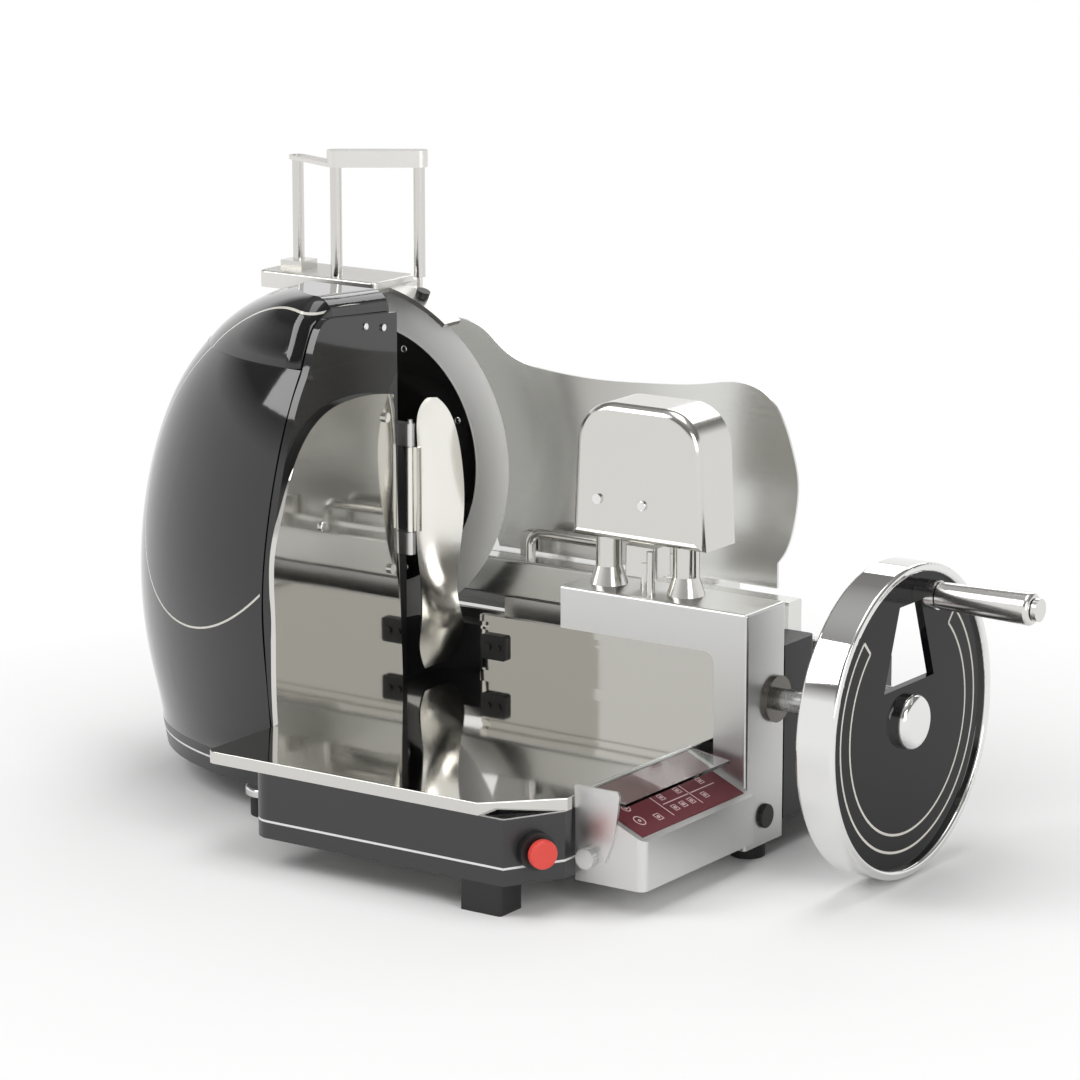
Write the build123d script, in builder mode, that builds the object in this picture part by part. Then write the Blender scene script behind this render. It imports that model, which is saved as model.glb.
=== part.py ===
"""Flywheel meat slicer, modelled in millimetres with +Z up.

The operator stands at -Y, X runs to the right along the blade's face and the carriage's travel, and the
crank wheel is on the right. The origin lies on the table, under the middle of the machine.
"""
import os
from math import cos, radians, sin, sqrt

from build123d import *

os.makedirs("parts", exist_ok=True)

# ---------------------------------------------------------------- driving dimensions
# Slice tray: its front left corner is the datum that the other places are measured from
tray_left = -209.5
tray_front = -271.0
tray_width = 380.0
tray_depth = 388.0
tray_top = 106.0
tray_sheet = 2.0
tray_lip = 12.0
tray_chamfer = 60.0

# Fits
seat = 0.3         # clearance round a piece that sits still in a hole
run_gap = 0.05     # radial clearance of a shaft in its bore
mesh_gap = 0.3     # between the pitch surfaces of two gears

# Base
base_bottom = 30.0
base_wall = 4.0
front_base_left = 52.0
front_base_corner = 22.0
front_base_chamfer_x = 31.0
front_base_chamfer_y = 56.0
link_front = 250.0         # front of the block that joins the body to the front base
rear_depth = 150.0
rear_top = 150.0
rear_set_back = 20.0
foot_radius = 17.0
front_foot_x = 322.0
front_foot_width = 46.0
front_foot_set_back = 1.0
disc_foot_radius = 27.0
disc_foot_x = -38.0
disc_foot_y = 152.0

# Egg-shaped cover: horizontal sections (height, reach to the left, reach to the front)
cover_back = 316.0
cover_centre = 316.0
cover_wall = 3.0
cover_side = 10.0
neck_inset = 3.0
plate_wall = 6.0
cover_sections = [
    (58.0, 272.0, 187.0), (108.0, 277.0, 203.0), (170.0, 288.0, 210.0), (234.0, 288.0, 213.0),
    (300.0, 281.0, 204.0), (350.0, 269.0, 191.0), (397.0, 250.0, 174.0), (430.0, 229.0, 158.0),
    (450.0, 212.0, 146.0),
]
crown_sections = [
    (450.0, 211.0, 145.0), (465.0, 196.0, 140.0), (480.0, 176.0, 133.0), (495.0, 149.0, 126.0),
    (505.0, 124.0, 119.0), (512.0, 98.0, 110.0), (517.0, 66.0, 97.0), (519.0, 44.0, 86.0),
]
foot_section = (30.0, 268.0, 181.0)
crown_top_front = (192.0, 517.0)      # the crown's sloping top, seen from the side
crown_top_back = 509.0
crown_round = 20.0

# Profile of the frame above the seam, and the height of its back corner
frame_crown = [(176.0, 465.0), (183.0, 480.0), (192.0, 492.0), (206.0, 497.0)]
frame_back_top = 488.0

# Drive housing: the round-topped casting behind the cover that holds the bevel gears
drive_back = 354.0
drive_right = -18.0
drive_width = 150.0
drive_left = drive_right - drive_width
drive_floor = 94.0

# Arch-shaped polished plate on the side frame
frame_thick = 8.0
arch_thick = 6.0
arch_outline = [
    (106.0, 106.0), (104.0, 146.0), (104.0, 217.0), (106.0, 285.0), (116.0, 313.0), (137.0, 362.0),
    (153.0, 383.0), (170.0, 397.0), (194.0, 408.0), (227.0, 413.0), (260.0, 413.0), (302.0, 407.0),
]
arch_back_top = (309.0, 235.0)
arch_back_foot = (314.0, 106.0)
screw_radius = 5.0
screw_shank = 2.2
screw_depth = 5.0

arch_screw_places = [(287.0, 386.0), (181.0, 294.0), (295.0, 229.0)]
frame_screw_radius = 3.5
frame_screw_places = [(263.0, 481.0), (292.0, 476.0)]

# Blade
blade_radius = 175.0
blade_thick = 4.0
blade_x = -93.0
blade_y = 392.0
blade_z = 320.0
blade_bevel = 38.0
spindle_radius = 8.0
spindle_flange = 32.0
guard_gap = 3.0
guard_wall = 5.0
guard_inner = blade_radius + guard_gap
guard_outer = guard_inner + guard_wall
guard_width = 72.0
guard_strip = 28.0
guard_start = 54.0
guard_hood = 78.0
guard_end = 138.0
channel_end = 258.0
guard_foot = -150.0
guard_foot_width = 30.0
guard_foot_back = 4.0
guard_foot_bottom = 120.0
guard_foot_grip = 2.0       # how far the foot reaches into the ring
guard_foot_reach = blade_x - guard_foot
guard_foot_top = blade_z - sqrt(guard_outer**2 - guard_foot_reach**2) + guard_foot_grip
knob_angle = 68.0
knob_radius = 7.0
knob_height = 7.0
knob_stem = 4.0
cap_left = -207.0
cap_length = 150.0
cap_thick = 3.0
cap_skirt = 14.0

# Deflector hung on the arch plate: sections (height, hinge side x, y, middle x, y, edge x, y)
hinge_x = 12.0
hinge_y = 321.0
pin_size = 2.5
knuckle_radius = 5.0
lug_low = 240.0
lug_high = 352.0
lug_height = 23.0
deflector_sheet = 2.0
deflector_sections = [
    (402.0, 27.0, 329.0, 30.5, 333.0, 34.0, 336.0), (392.0, 21.0, 325.0, 29.5, 334.0, 42.0, 342.0),
    (375.0, 18.0, 324.0, 31.0, 337.0, 50.0, 345.0),
    (300.0, 18.0, 324.0, 34.0, 341.0, 58.0, 350.0), (240.0, 18.0, 324.0, 31.0, 340.0, 50.0, 352.0),
    (180.0, 18.0, 330.0, 24.0, 350.0, 36.0, 370.0), (118.0, 16.0, 336.0, 15.0, 358.0, 16.0, 380.0),
]

# Fence
fence_thick = 3.0
fence_height = 64.0
fence_ledges = [(0.0, 4.0, 6.0), (48.0, 2.5, 3.0), (57.0, 4.0, 7.0)]   # lift, reach, height

# Bridge
bridge_left = 233.0
bridge_overhang = 67.0     # of the pillar's outer face beyond the tray
bridge_right = tray_width + bridge_overhang
bridge_front = 265.0
bridge_depth = 70.0
bridge_top = 248.0
bridge_beam = 42.0
pillar_width = 37.0
pillar_foot = 14.0
bridge_wall = 6.0
bridge_fillet = 12.0
plug_y = 300.0
plug_z = 42.0
plug_radius = 12.0

# Press on the bridge
post_radius = 13.0
post_flare = 19.0
post_first = 264.0
post_pitch = 89.0
post_y = 304.0
post_height = 140.0
casing_left = 240.0
casing_width = 152.0
casing_front = 270.0
casing_depth = 60.0
casing_bottom = 299.0
casing_height = 135.0
casing_taper = 7.0
casing_round = 42.0
casing_edge = 10.0
casing_wall = 3.0
guide_height = 20.0

press_screw_places = [(273.0, 339.0), (324.0, 338.0)]
clamp_x = 309.0
clamp_rod_x = 329.0
clamp_rod_y = 278.0

# Gearbox column behind the pillar
column_depth = 57.0
column_top = 204.0

# Control box
box_width = 76.0
box_depth = 192.0
box_front = bridge_front - box_depth
box_bottom = 24.0
box_high = 106.0
box_low = 72.0
box_wall = 3.0
box_corner = 8.0
keypad_thick = 1.0
lid_thick = 3.0
lid_pivot = 1.6
lid_pivot_x = 9.0
lid_pivot_z = 110.5
lid_reach = 46.0
lid_slope = 0.14
lid_length = box_depth - 10.0
bracket_thick = 3.0
bracket_outline = [
    (1.0, 117.0), (49.0, 117.0), (51.0, 113.0), (47.0, 84.0), (41.0, 62.0), (34.0, 46.0), (26.0, 41.0),
    (15.0, 41.0), (8.0, 46.0), (3.0, 62.0),
]
thumb_x = 18.0
thumb_z = 50.0
thumb_radius = 10.0
thumb_stem = 3.0

# Stop button
stop_z = 62.0
stop_collar = 18.0
stop_radius = 14.0
stop_stem = 8.0

# Crank wheel
wheel_gap = 113.0          # between the pillar and the back of the rim
wheel_x = bridge_right + wheel_gap
wheel_y = 318.0
wheel_z = 155.0
wheel_radius = 152.0
wheel_depth = 40.0
rim_thick = 9.0
disc_thick = 8.0
disc_recess = 6.0
window_start = 36.0
window_end = 114.0
window_low = 47.0
window_high = 20.0
hub_radius = 27.0
shaft_radius = 11.0
crank_pin_radius = 6.0
crank_pin_reach = 122.0
crank_pin_turn = 17.0      # degrees from the top towards the back
grip_radius = 16.0
grip_length = 100.0

# Gears
gear_radius = 20.0
gear_face = 9.0
bevel_small = 12.0
bevel_large = 24.0
bevel_cut = 0.6        # inner end of a bevel as a share of its outer end
lay_radius = 8.0
idler_pin_radius = 5.0
upright_radius = 7.0
arm_heights = [140.0, 270.0]
stand_x = -62.0

# Carriage
rail_height = 15.0
rail_width = 14.0
rail_first = 430.0
rail_pitch = 80.0
saddle_left = 60.0
saddle_width = 250.0
saddle_thick = 18.0
arm_left = -17.0
arm_right = 400.0
table_right = 300.0
arm_depth = 25.0
arm_height = 40.0
table_thick = 4.0
table_back = 520.0
rod_radius = 5.0
fork_left = 84.0
fork_right = 190.0
fork_height = 28.0
feed_front = 442.0
feed_rod_places = [70.0, 250.0]
plate_y = 452.0
plate_thick = 3.0
plate_outline = [
    (-42.0, 458.0), (-11.0, 459.0), (8.0, 453.0), (33.0, 434.0), (58.0, 422.0), (89.0, 417.0), (156.0, 414.0),
    (216.0, 417.0), (276.0, 423.0), (322.0, 429.0), (346.0, 423.0), (367.0, 402.0), (381.0, 369.0),
    (388.0, 339.0), (385.0, 298.0), (377.0, 269.0), (366.0, 252.0),
]
plate_foot_left = 30.0

# Sharpener
stone_post_radius = 6.0
stone_post_height = 116.0
stone_stem = 3.0
stone_radius = 14.0
stone_thick = 10.0
stone_drop = 21.0          # of the stones' tops below the hood's top
bracket_height = 17.0
bracket_roof = 4.0         # closed top of the bracket's sockets
bracket_grip = 2.5         # how far the posts reach into the sockets at rest
stone_post_places = [(-181.0, 392.0), (-114.0, 368.0), (-44.0, 416.0)]

# ---------------------------------------------------------------- places worked out from them
tray_right = tray_left + tray_width
tray_back = tray_front + tray_depth
tray_under = tray_top - tray_lip
low = (Align.MIN, Align.MIN, Align.MIN)
standing = (Align.CENTER, Align.CENTER, Align.MIN)


def at_x(offset):
    """X of a place measured from the tray's left edge."""
    return tray_left + offset


def at_y(offset):
    """Y of a place measured from the tray's front edge."""
    return tray_front + offset


def egg_curve(section, inset, back, start_x):
    """Points of the egg's plan at one height, from start_x left of the tray round the front to its back."""
    reach_left = section[1] - inset
    reach_front = section[2] - inset
    points = []
    start_sine = start_x / reach_left
    back_cosine = (cover_centre - back) / reach_front
    end_angle = sqrt(1 - back_cosine**2)
    for step in range(9):
        blend = step / 8
        sine = start_sine + (end_angle - start_sine) * sin(radians(90 * blend))
        cosine = sqrt(1 - sine**2)
        points.append((at_x(-reach_left * sine), at_y(cover_centre - reach_front * cosine)))
    return points


blade_side_x = at_x(blade_x)
blade_plane = at_y(blade_y)
wheel_axis_y = at_y(wheel_y)
idler_z = wheel_z - 2 * gear_radius - mesh_gap
lay_z = idler_z - 2 * gear_radius - mesh_gap
base_right = at_x(tray_width)
rear_front = at_y(blade_y)
rear_left = at_x(-293)
rear_back = at_y(blade_y + rear_depth)
pillar_left = at_x(bridge_right) - pillar_width
column_front = at_y(bridge_front + bridge_depth)
cap_top = blade_z + guard_outer + cap_thick
stone_top = blade_z + guard_outer - stone_drop
stem_places = [(at_x(x), at_y(y), blade_z + guard_outer) for x, y in stone_post_places[1:]]
drive_x = at_x(drive_left)
drive_centre = drive_x + drive_width / 2

# Middle of the front base's cut corner, facing outwards
stop_place = Plane(
    origin=(base_right - front_base_chamfer_x / 2, at_y(front_base_chamfer_y / 2), stop_z),
    z_dir=(front_base_chamfer_y, -front_base_chamfer_x, 0),
)

# ---------------------------------------------------------------- base
# Left body under the egg-shaped cover: a tub with an egg-shaped plan, and a block that joins the front base
with BuildPart() as body_base:
    for height, section in ((foot_section[0], foot_section), (cover_sections[0][0], cover_sections[0])):
        with BuildSketch(Plane.XY.offset(height)):
            with BuildLine():
                side = Spline(egg_curve(section, 0, cover_back, 0))
                Polyline(side @ 1, (at_x(0), at_y(cover_back)), side @ 0)
            make_face()
    loft(ruled=True)
    with BuildSketch(Plane.XY.offset(base_bottom + base_wall)):
        with BuildLine():
            side = Spline(egg_curve(foot_section, 2 * base_wall, cover_back - base_wall, base_wall))
            Polyline(side @ 1, (at_x(-base_wall), at_y(cover_back - base_wall)), side @ 0)
        make_face()
    extrude(amount=100, mode=Mode.SUBTRACT)
    with Locations((at_x(0), at_y(link_front), base_bottom)):
        Box(front_base_left, drive_back - link_front, drive_floor - base_bottom, align=low)
    with Locations((drive_x, at_y(cover_back), base_bottom)):
        Box(front_base_left - drive_left, drive_back - cover_back, drive_floor - base_bottom, align=low)
    with Locations((at_x(-base_wall), at_y(link_front) + base_wall, base_bottom + base_wall)):
        Box(
            front_base_left, drive_back - link_front - 2 * base_wall, drive_floor - base_bottom - 2 * base_wall,
            align=low, mode=Mode.SUBTRACT,
        )
    with Locations((drive_x + base_wall, at_y(cover_back) - 2 * base_wall, base_bottom + base_wall)):
        Box(
            front_base_left - drive_left - 2 * base_wall, drive_back - cover_back + base_wall,
            drive_floor - base_bottom - 2 * base_wall, align=low, mode=Mode.SUBTRACT,
        )
        Box(drive_width - 2 * base_wall, drive_back - cover_back + base_wall, drive_floor, align=low, mode=Mode.SUBTRACT)
    with Locations(Plane.YZ.offset(at_x(front_base_left))):
        with Locations((wheel_axis_y, lay_z)):
            Cylinder(lay_radius + 2, 3 * base_wall, mode=Mode.SUBTRACT)
body_base.part.label = "body_base"
export_step(body_base.part, "parts/body_base.step")

# Front base under the slice tray: a ring of walls, with a spur on the right that carries the layshaft to the pillar
with BuildPart() as base_housing:
    with BuildSketch(Plane.XY.offset(base_bottom)) as base_plan:
        with BuildLine():
            Polyline(
                (at_x(front_base_left), at_y(0)), (base_right - front_base_chamfer_x, at_y(0)),
                (base_right, at_y(front_base_chamfer_y)), (base_right, rear_front), (at_x(front_base_left), rear_front),
                close=True,
            )
        make_face()
        fillet(base_plan.vertices().group_by(Axis.Y)[0].sort_by(Axis.X)[0], front_base_corner)
    extrude(amount=tray_under - base_bottom)
    with Locations((base_right, wheel_axis_y - gear_radius, base_bottom)):
        Box(pillar_left - base_right - 2, 2 * gear_radius, tray_under - base_bottom, align=low)
    with BuildSketch(Plane.XY.offset(base_bottom)):
        add(base_plan.sketch)
        offset(amount=-base_wall, mode=Mode.REPLACE)
    extrude(amount=tray_under - base_bottom, mode=Mode.SUBTRACT)
    with Locations(Plane.YZ.offset(base_right)):
        with Locations((wheel_axis_y, lay_z)):
            Cylinder(lay_radius + 2, 80, mode=Mode.SUBTRACT)
    with Locations(Plane.YZ.offset(at_x(front_base_left))):
        with Locations((wheel_axis_y, lay_z)):
            Cylinder(lay_radius + run_gap, 3 * base_wall, mode=Mode.SUBTRACT)
    with Locations(stop_place):
        Cylinder(stop_stem + 2, 4 * base_wall, mode=Mode.SUBTRACT)
base_housing.part.label = "base_housing"
export_step(base_housing.part, "parts/base_housing.step")

# Rear base that carries the carriage's rails, set back on the left to clear the blade's guard
with BuildPart() as rear_base:
    with BuildSketch(Plane.XY.offset(base_bottom)) as rear_plan:
        with BuildLine():
            Polyline(
                (rear_left, rear_front + rear_set_back), (at_x(front_base_left - base_wall), rear_front + rear_set_back),
                (at_x(front_base_left - base_wall), rear_front), (at_x(bridge_right), rear_front),
                (at_x(bridge_right), rear_back), (rear_left, rear_back), close=True,
            )
        make_face()
    extrude(amount=rear_top - base_bottom)
    fillet(rear_base.edges().filter_by(Axis.Z).group_by(Axis.X)[0], 12)
    with BuildSketch(Plane.XY.offset(base_bottom)):
        add(rear_plan.sketch)
        offset(amount=-base_wall, mode=Mode.REPLACE)
    extrude(amount=rear_top - base_bottom - base_wall, mode=Mode.SUBTRACT)
rear_base.part.label = "rear_base"
export_step(rear_base.part, "parts/rear_base.step")

# Mirror-bright slice tray: a sheet with its edges folded down
with BuildPart() as slice_tray:
    with BuildSketch(Plane.XY.offset(tray_under)) as tray_plan:
        with BuildLine():
            Polyline(
                (tray_left, tray_front), (tray_right - tray_chamfer, tray_front), (tray_right, tray_front + tray_chamfer),
                (tray_right, tray_back), (tray_left, tray_back), close=True,
            )
        make_face()
        fillet(tray_plan.vertices().group_by(Axis.Y)[0].sort_by(Axis.X)[0], 10)
    extrude(amount=tray_lip)
    fillet(slice_tray.faces().sort_by(Axis.Z)[-1].edges(), 1)
    with BuildSketch(Plane.XY.offset(tray_under)):
        add(tray_plan.sketch)
        offset(amount=-tray_sheet, mode=Mode.REPLACE)
    extrude(amount=tray_lip - tray_sheet, mode=Mode.SUBTRACT)
slice_tray.part.label = "slice_tray"
export_step(slice_tray.part, "parts/slice_tray.step")

# Black round-topped frame on the right of the egg, with a narrow neck that leaves a groove beside the cover
frame_front = [(at_y(cover_centre - section[2]), section[0]) for section in cover_sections]
frame_front += [(at_y(y), z) for y, z in frame_crown]
with BuildPart() as side_frame:
    with BuildSketch(Plane.YZ.offset(tray_left - frame_thick)) as frame_plan:
        with BuildLine():
            front_edge = Spline(frame_front)
            Polyline(
                front_edge @ 1, (at_y(cover_back), frame_back_top), (at_y(cover_back), frame_front[0][1]),
                front_edge @ 0,
            )
        make_face()
        with Locations((wheel_axis_y, lay_z)):
            Circle(lay_radius + 2, mode=Mode.SUBTRACT)
    extrude(amount=frame_thick)
    with BuildSketch(Plane.YZ.offset(at_x(-cover_side))):
        with BuildLine():
            neck_edge = Spline([
                (y + neck_inset, z - neck_inset * (z - frame_front[0][1]) / frame_front[-1][1]) for y, z in frame_front
            ])
            Polyline(
                neck_edge @ 1, (at_y(cover_back) - neck_inset, frame_back_top - neck_inset),
                (at_y(cover_back) - neck_inset, (neck_edge @ 0).Y), neck_edge @ 0,
            )
        make_face()
        with Locations((wheel_axis_y, lay_z)):
            Circle(lay_radius + 2, mode=Mode.SUBTRACT)
    extrude(amount=cover_side - frame_thick)
side_frame.part.label = "side_frame"
export_step(side_frame.part, "parts/side_frame.step")


def egg_plans(sections, inset, back, start_x):
    """Plans of the egg at its sections."""
    plans = []
    for section in sections:
        with BuildSketch(Plane.XY.offset(section[0])) as plan:
            with BuildLine():
                side = Spline(egg_curve(section, inset, back, start_x))
                Polyline(side @ 1, (at_x(-start_x), at_y(back)), side @ 0)
            make_face()
        plans.append(plan.sketch.face())
    return plans


def under_crown_top(drop):
    """Block of everything below the crown's sloping top, lowered by drop."""
    with BuildPart() as block:
        with BuildSketch(Plane.YZ.offset(rear_left)):
            with BuildLine():
                Polyline(
                    (at_y(0), 0), (at_y(drive_back), 0), (at_y(drive_back), crown_top_back - drop),
                    (at_y(cover_back), crown_top_back - drop), (at_y(crown_top_front[0]), crown_top_front[1] - drop),
                    (at_y(0), crown_top_front[1] - drop), close=True,
                )
            make_face()
        extrude(amount=tray_width)
    return block.part


# Large glossy cover, open to the right and the back
with BuildPart() as egg_cover:
    loft(egg_plans(cover_sections, 0, cover_back, cover_side))
    loft(egg_plans(cover_sections, cover_wall, cover_back, cover_side / 2), mode=Mode.SUBTRACT)
egg_cover.part.label = "egg_cover"
export_step(egg_cover.part, "parts/egg_cover.step")

# Space inside the crown
with BuildPart() as crown_space:
    loft(egg_plans(crown_sections, cover_wall, cover_back - cover_wall, cover_side + cover_wall))
    add(under_crown_top(cover_wall), mode=Mode.INTERSECT)
    fillet(crown_space.edges().filter_by(Plane.YZ).sort_by(Axis.Z)[-2:], crown_round - cover_wall)

# Crown on top of the cover, its top sloping down to the back and rounded along the right
with BuildPart() as egg_top:
    loft(egg_plans(crown_sections, 0, cover_back, cover_side))
    add(under_crown_top(0), mode=Mode.INTERSECT)
    fillet(egg_top.edges().filter_by(Plane.YZ).sort_by(Axis.Z)[-2:], crown_round)
    add(crown_space.part, mode=Mode.SUBTRACT)
egg_top.part.label = "egg_top"
export_step(egg_top.part, "parts/egg_top.step")

# Plate that closes the cover's back, with the round-topped housing of the bevel gears on it
with BuildPart() as back_plate:
    loft(egg_plans(cover_sections, cover_wall + seat, cover_back, cover_side))
    with Locations((rear_left, at_y(cover_back) - plate_wall, 0)):
        Box(rear_depth * 3, plate_wall, 2 * blade_z, align=low, mode=Mode.INTERSECT)
    for inset, front, floor, mode in (
        (0, cover_back, drive_floor, Mode.ADD),
        (plate_wall, cover_back - 2 * plate_wall, cover_sections[0][0], Mode.SUBTRACT),
    ):
        with BuildSketch(Plane.XZ.offset(-at_y(front))):
            with Locations((drive_centre, blade_z)):
                Circle(drive_width / 2 - inset)
            with Locations((drive_centre, floor)):
                Rectangle(drive_width - 2 * inset, blade_z - floor, align=(Align.CENTER, Align.MIN))
        extrude(amount=front + inset - drive_back, mode=mode)
    with Locations((drive_centre, at_y(cover_back) - 2 * plate_wall, cover_sections[0][0])):
        Box(drive_width, 3 * plate_wall, lay_z + lay_radius + 2 - cover_sections[0][0], align=low, mode=Mode.SUBTRACT)
    with Locations(Plane.XZ.offset(-at_y(drive_back))):
        with Locations((blade_side_x, blade_z)):
            Cylinder(spindle_radius + 8, 3 * plate_wall, mode=Mode.SUBTRACT)
back_plate.part.label = "back_plate"
export_step(back_plate.part, "parts/back_plate.step")

# Bushing of the blade's spindle, seated in the housing with its flange towards the blade
with BuildPart() as spindle_bush:
    with Locations(Plane.XZ.offset(-at_y(drive_back))):
        with Locations((blade_side_x, blade_z, -plate_wall)):
            Cylinder(spindle_radius + 8, 2 * plate_wall, align=standing)
            Cylinder(spindle_radius + 14, plate_wall, align=standing)
            Cylinder(spindle_radius + run_gap, 60, mode=Mode.SUBTRACT)
spindle_bush.part.label = "spindle_bush"
export_step(spindle_bush.part, "parts/spindle_bush.step")

# Polished arch-shaped plate screwed to the frame, standing on the tray
with BuildPart() as arch_plate:
    with BuildSketch(Plane.YZ.offset(tray_left)):
        with BuildLine():
            arch_edge = Spline([(at_y(y), z) for y, z in arch_outline])
            Polyline(
                arch_edge @ 1, (at_y(arch_back_top[0]), arch_back_top[1]), (at_y(arch_back_foot[0]), arch_back_foot[1]),
                arch_edge @ 0,
            )
        make_face()
    extrude(amount=arch_thick)
    with Locations(Plane.YZ.offset(tray_left + arch_thick)):
        with Locations(*[(at_y(y), z) for y, z in arch_screw_places]):
            Hole(screw_shank)
arch_plate.part.label = "arch_plate"
export_step(arch_plate.part, "parts/arch_plate.step")

# Its domed screws
with BuildPart() as arch_screws:
    with Locations(Plane.YZ.offset(tray_left + arch_thick)):
        with Locations(*[(at_y(y), z) for y, z in arch_screw_places]):
            Cylinder(screw_radius, 3, align=standing)
            Cylinder(screw_shank - 0.1, arch_thick, align=(Align.CENTER, Align.CENTER, Align.MAX))
    fillet(arch_screws.faces().sort_by(Axis.X)[-1].edges(), 1.5)
arch_screws.part.label = "arch_screws"
export_step(arch_screws.part, "parts/arch_screws.step")

# Two cheese-head screws through the frame's rounded top that hold the cover
with BuildPart() as frame_screws:
    with Locations(Plane.YZ.offset(tray_left)):
        with Locations(*[(at_y(y), z) for y, z in frame_screw_places]):
            Cylinder(frame_screw_radius, 2, align=standing)
    fillet(frame_screws.faces().sort_by(Axis.X)[-1].edges(), 1)
frame_screws.part.label = "frame_screws"
export_step(frame_screws.part, "parts/frame_screws.step")

# Two hinge lugs on the frame, and the pin through them
with BuildPart() as hinge_lugs:
    for bottom, height in ((lug_low, lug_height), (lug_high, lug_height)):
        with BuildSketch(Plane.XY.offset(bottom)):
            with Locations((at_x(hinge_x), at_y(hinge_y))):
                Circle(knuckle_radius)
            with Locations((at_x(-frame_thick), at_y(cover_back))):
                Rectangle(hinge_x + frame_thick, 2 * knuckle_radius, align=(Align.MIN, Align.MIN))
        extrude(amount=height)
    with Locations((at_x(hinge_x), at_y(hinge_y), lug_low)):
        Cylinder(pin_size, lug_high + lug_height - lug_low + 4, align=standing)
hinge_lugs.part.label = "hinge_lugs"
export_step(hinge_lugs.part, "parts/hinge_lugs.step")

# Curved deflector that guides the slice off the blade, with its knuckle between the lugs
deflector_plans = []
for height, sx, sy, mx, my, ex, ey in deflector_sections:
    run = sqrt((ex - sx) ** 2 + (ey - sy) ** 2)
    side_x = deflector_sheet * (ey - sy) / run
    side_y = -deflector_sheet * (ex - sx) / run
    with BuildSketch(Plane.XY.offset(height)) as deflector_plan:
        with BuildLine():
            ThreePointArc((at_x(sx), at_y(sy)), (at_x(mx), at_y(my)), (at_x(ex), at_y(ey)))
            Line((at_x(ex), at_y(ey)), (at_x(ex + side_x), at_y(ey + side_y)))
            ThreePointArc(
                (at_x(ex + side_x), at_y(ey + side_y)), (at_x(mx + side_x), at_y(my + side_y)),
                (at_x(sx + side_x), at_y(sy + side_y)),
            )
            Line((at_x(sx + side_x), at_y(sy + side_y)), (at_x(sx), at_y(sy)))
        make_face()
    deflector_plans.append(deflector_plan.sketch.face())
knuckle_bottom = lug_low + lug_height + 1
knuckle_height = lug_high - 1 - knuckle_bottom
with BuildPart() as deflector:
    loft(deflector_plans)
    with Locations((at_x(hinge_x), at_y(hinge_y), knuckle_bottom)):
        Cylinder(knuckle_radius, knuckle_height, align=standing)
    with Locations((at_x(hinge_x), at_y(hinge_y + 1), knuckle_bottom)):
        Box(deflector_sections[3][1] - hinge_x + 4, 4, knuckle_height, align=low)
    with Locations((at_x(hinge_x), at_y(hinge_y), knuckle_bottom)):
        Cylinder(pin_size + run_gap, knuckle_height, align=standing, mode=Mode.SUBTRACT)
deflector.part.label = "deflector"
export_step(deflector.part, "parts/deflector.step")

# Round knife: a dished disc with a ground bevel on its front
with BuildPart() as blade:
    with Locations(Plane.XZ.offset(-(blade_plane + blade_thick / 2))):
        with Locations((blade_side_x, blade_z)):
            Cylinder(blade_radius - blade_bevel, blade_thick, align=standing)
            Cone(blade_radius, blade_radius - blade_bevel, blade_thick - 0.8, align=standing)
            Cylinder(spindle_radius, 60, mode=Mode.SUBTRACT)
blade.part.label = "blade"
export_step(blade.part, "parts/blade.step")

# Blade spindle with its driven bevel, the flange in front of the blade and the nut behind it
with BuildPart() as blade_spindle:
    with Locations(Plane.XZ.offset(-(blade_plane + blade_thick / 2 + 10))):
        with Locations((blade_side_x, blade_z)):
            Cylinder(spindle_radius, blade_y + blade_thick / 2 + 10 - wheel_y - bevel_large - mesh_gap, align=standing)
            Cylinder(2 * spindle_radius, 10, align=standing)
    with Locations(Plane.XZ.offset(-(blade_plane - blade_thick / 2))):
        with Locations((blade_side_x, blade_z)):
            Cylinder(spindle_flange, 8, align=standing)
    with Locations(Plane.XZ.offset(-(wheel_axis_y + bevel_large + mesh_gap))):
        with Locations((blade_side_x, blade_z)):
            Cone(bevel_small, bevel_small * bevel_cut, bevel_large * (1 - bevel_cut), align=standing)
blade_spindle.part.label = "blade_spindle"
export_step(blade_spindle.part, "parts/blade_spindle.step")

# Guard ring round the blade: a channel with a wider hood over the top, and a foot on the rear base
with BuildPart() as guard_ring:
    for first, last, width in ((guard_start, channel_end, guard_strip), (guard_hood, guard_end, guard_width)):
        with BuildSketch(Plane.XZ.offset(-(blade_plane + width / 2))):
            with Locations((blade_side_x, blade_z)):
                Circle(guard_outer)
                Circle(guard_inner, mode=Mode.SUBTRACT)
            with BuildLine():
                fan = [first, first + (last - first) / 3, last - (last - first) / 3, last]
                reach = 3 * guard_outer
                Polyline(
                    (blade_side_x, blade_z),
                    *[(blade_side_x + reach * cos(radians(a)), blade_z + reach * sin(radians(a))) for a in fan],
                    (blade_side_x, blade_z),
                )
            make_face(mode=Mode.INTERSECT)
        extrude(amount=width)
    with Locations((at_x(guard_foot), at_y(blade_y + guard_foot_back), guard_foot_bottom)):
        Box(guard_foot_width, rear_set_back - guard_foot_back, guard_foot_top - guard_foot_bottom, align=low)
    with Locations(Plane.XZ.offset(-(blade_plane + guard_width))):
        with Locations((blade_side_x, blade_z)):
            Cylinder(guard_inner, 2 * guard_width, align=standing, mode=Mode.SUBTRACT)
    with Locations(Location((blade_side_x, blade_plane, blade_z), (0, 90 - knob_angle, 0))):
        with Locations((0, 0, guard_inner - 4)):
            Cylinder(knob_stem + run_gap, 12, align=standing, mode=Mode.SUBTRACT)
    with Locations(*stem_places):
        Cylinder(stone_stem + run_gap, guard_width, mode=Mode.SUBTRACT)
guard_ring.part.label = "guard_ring"
export_step(guard_ring.part, "parts/guard_ring.step")

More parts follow.
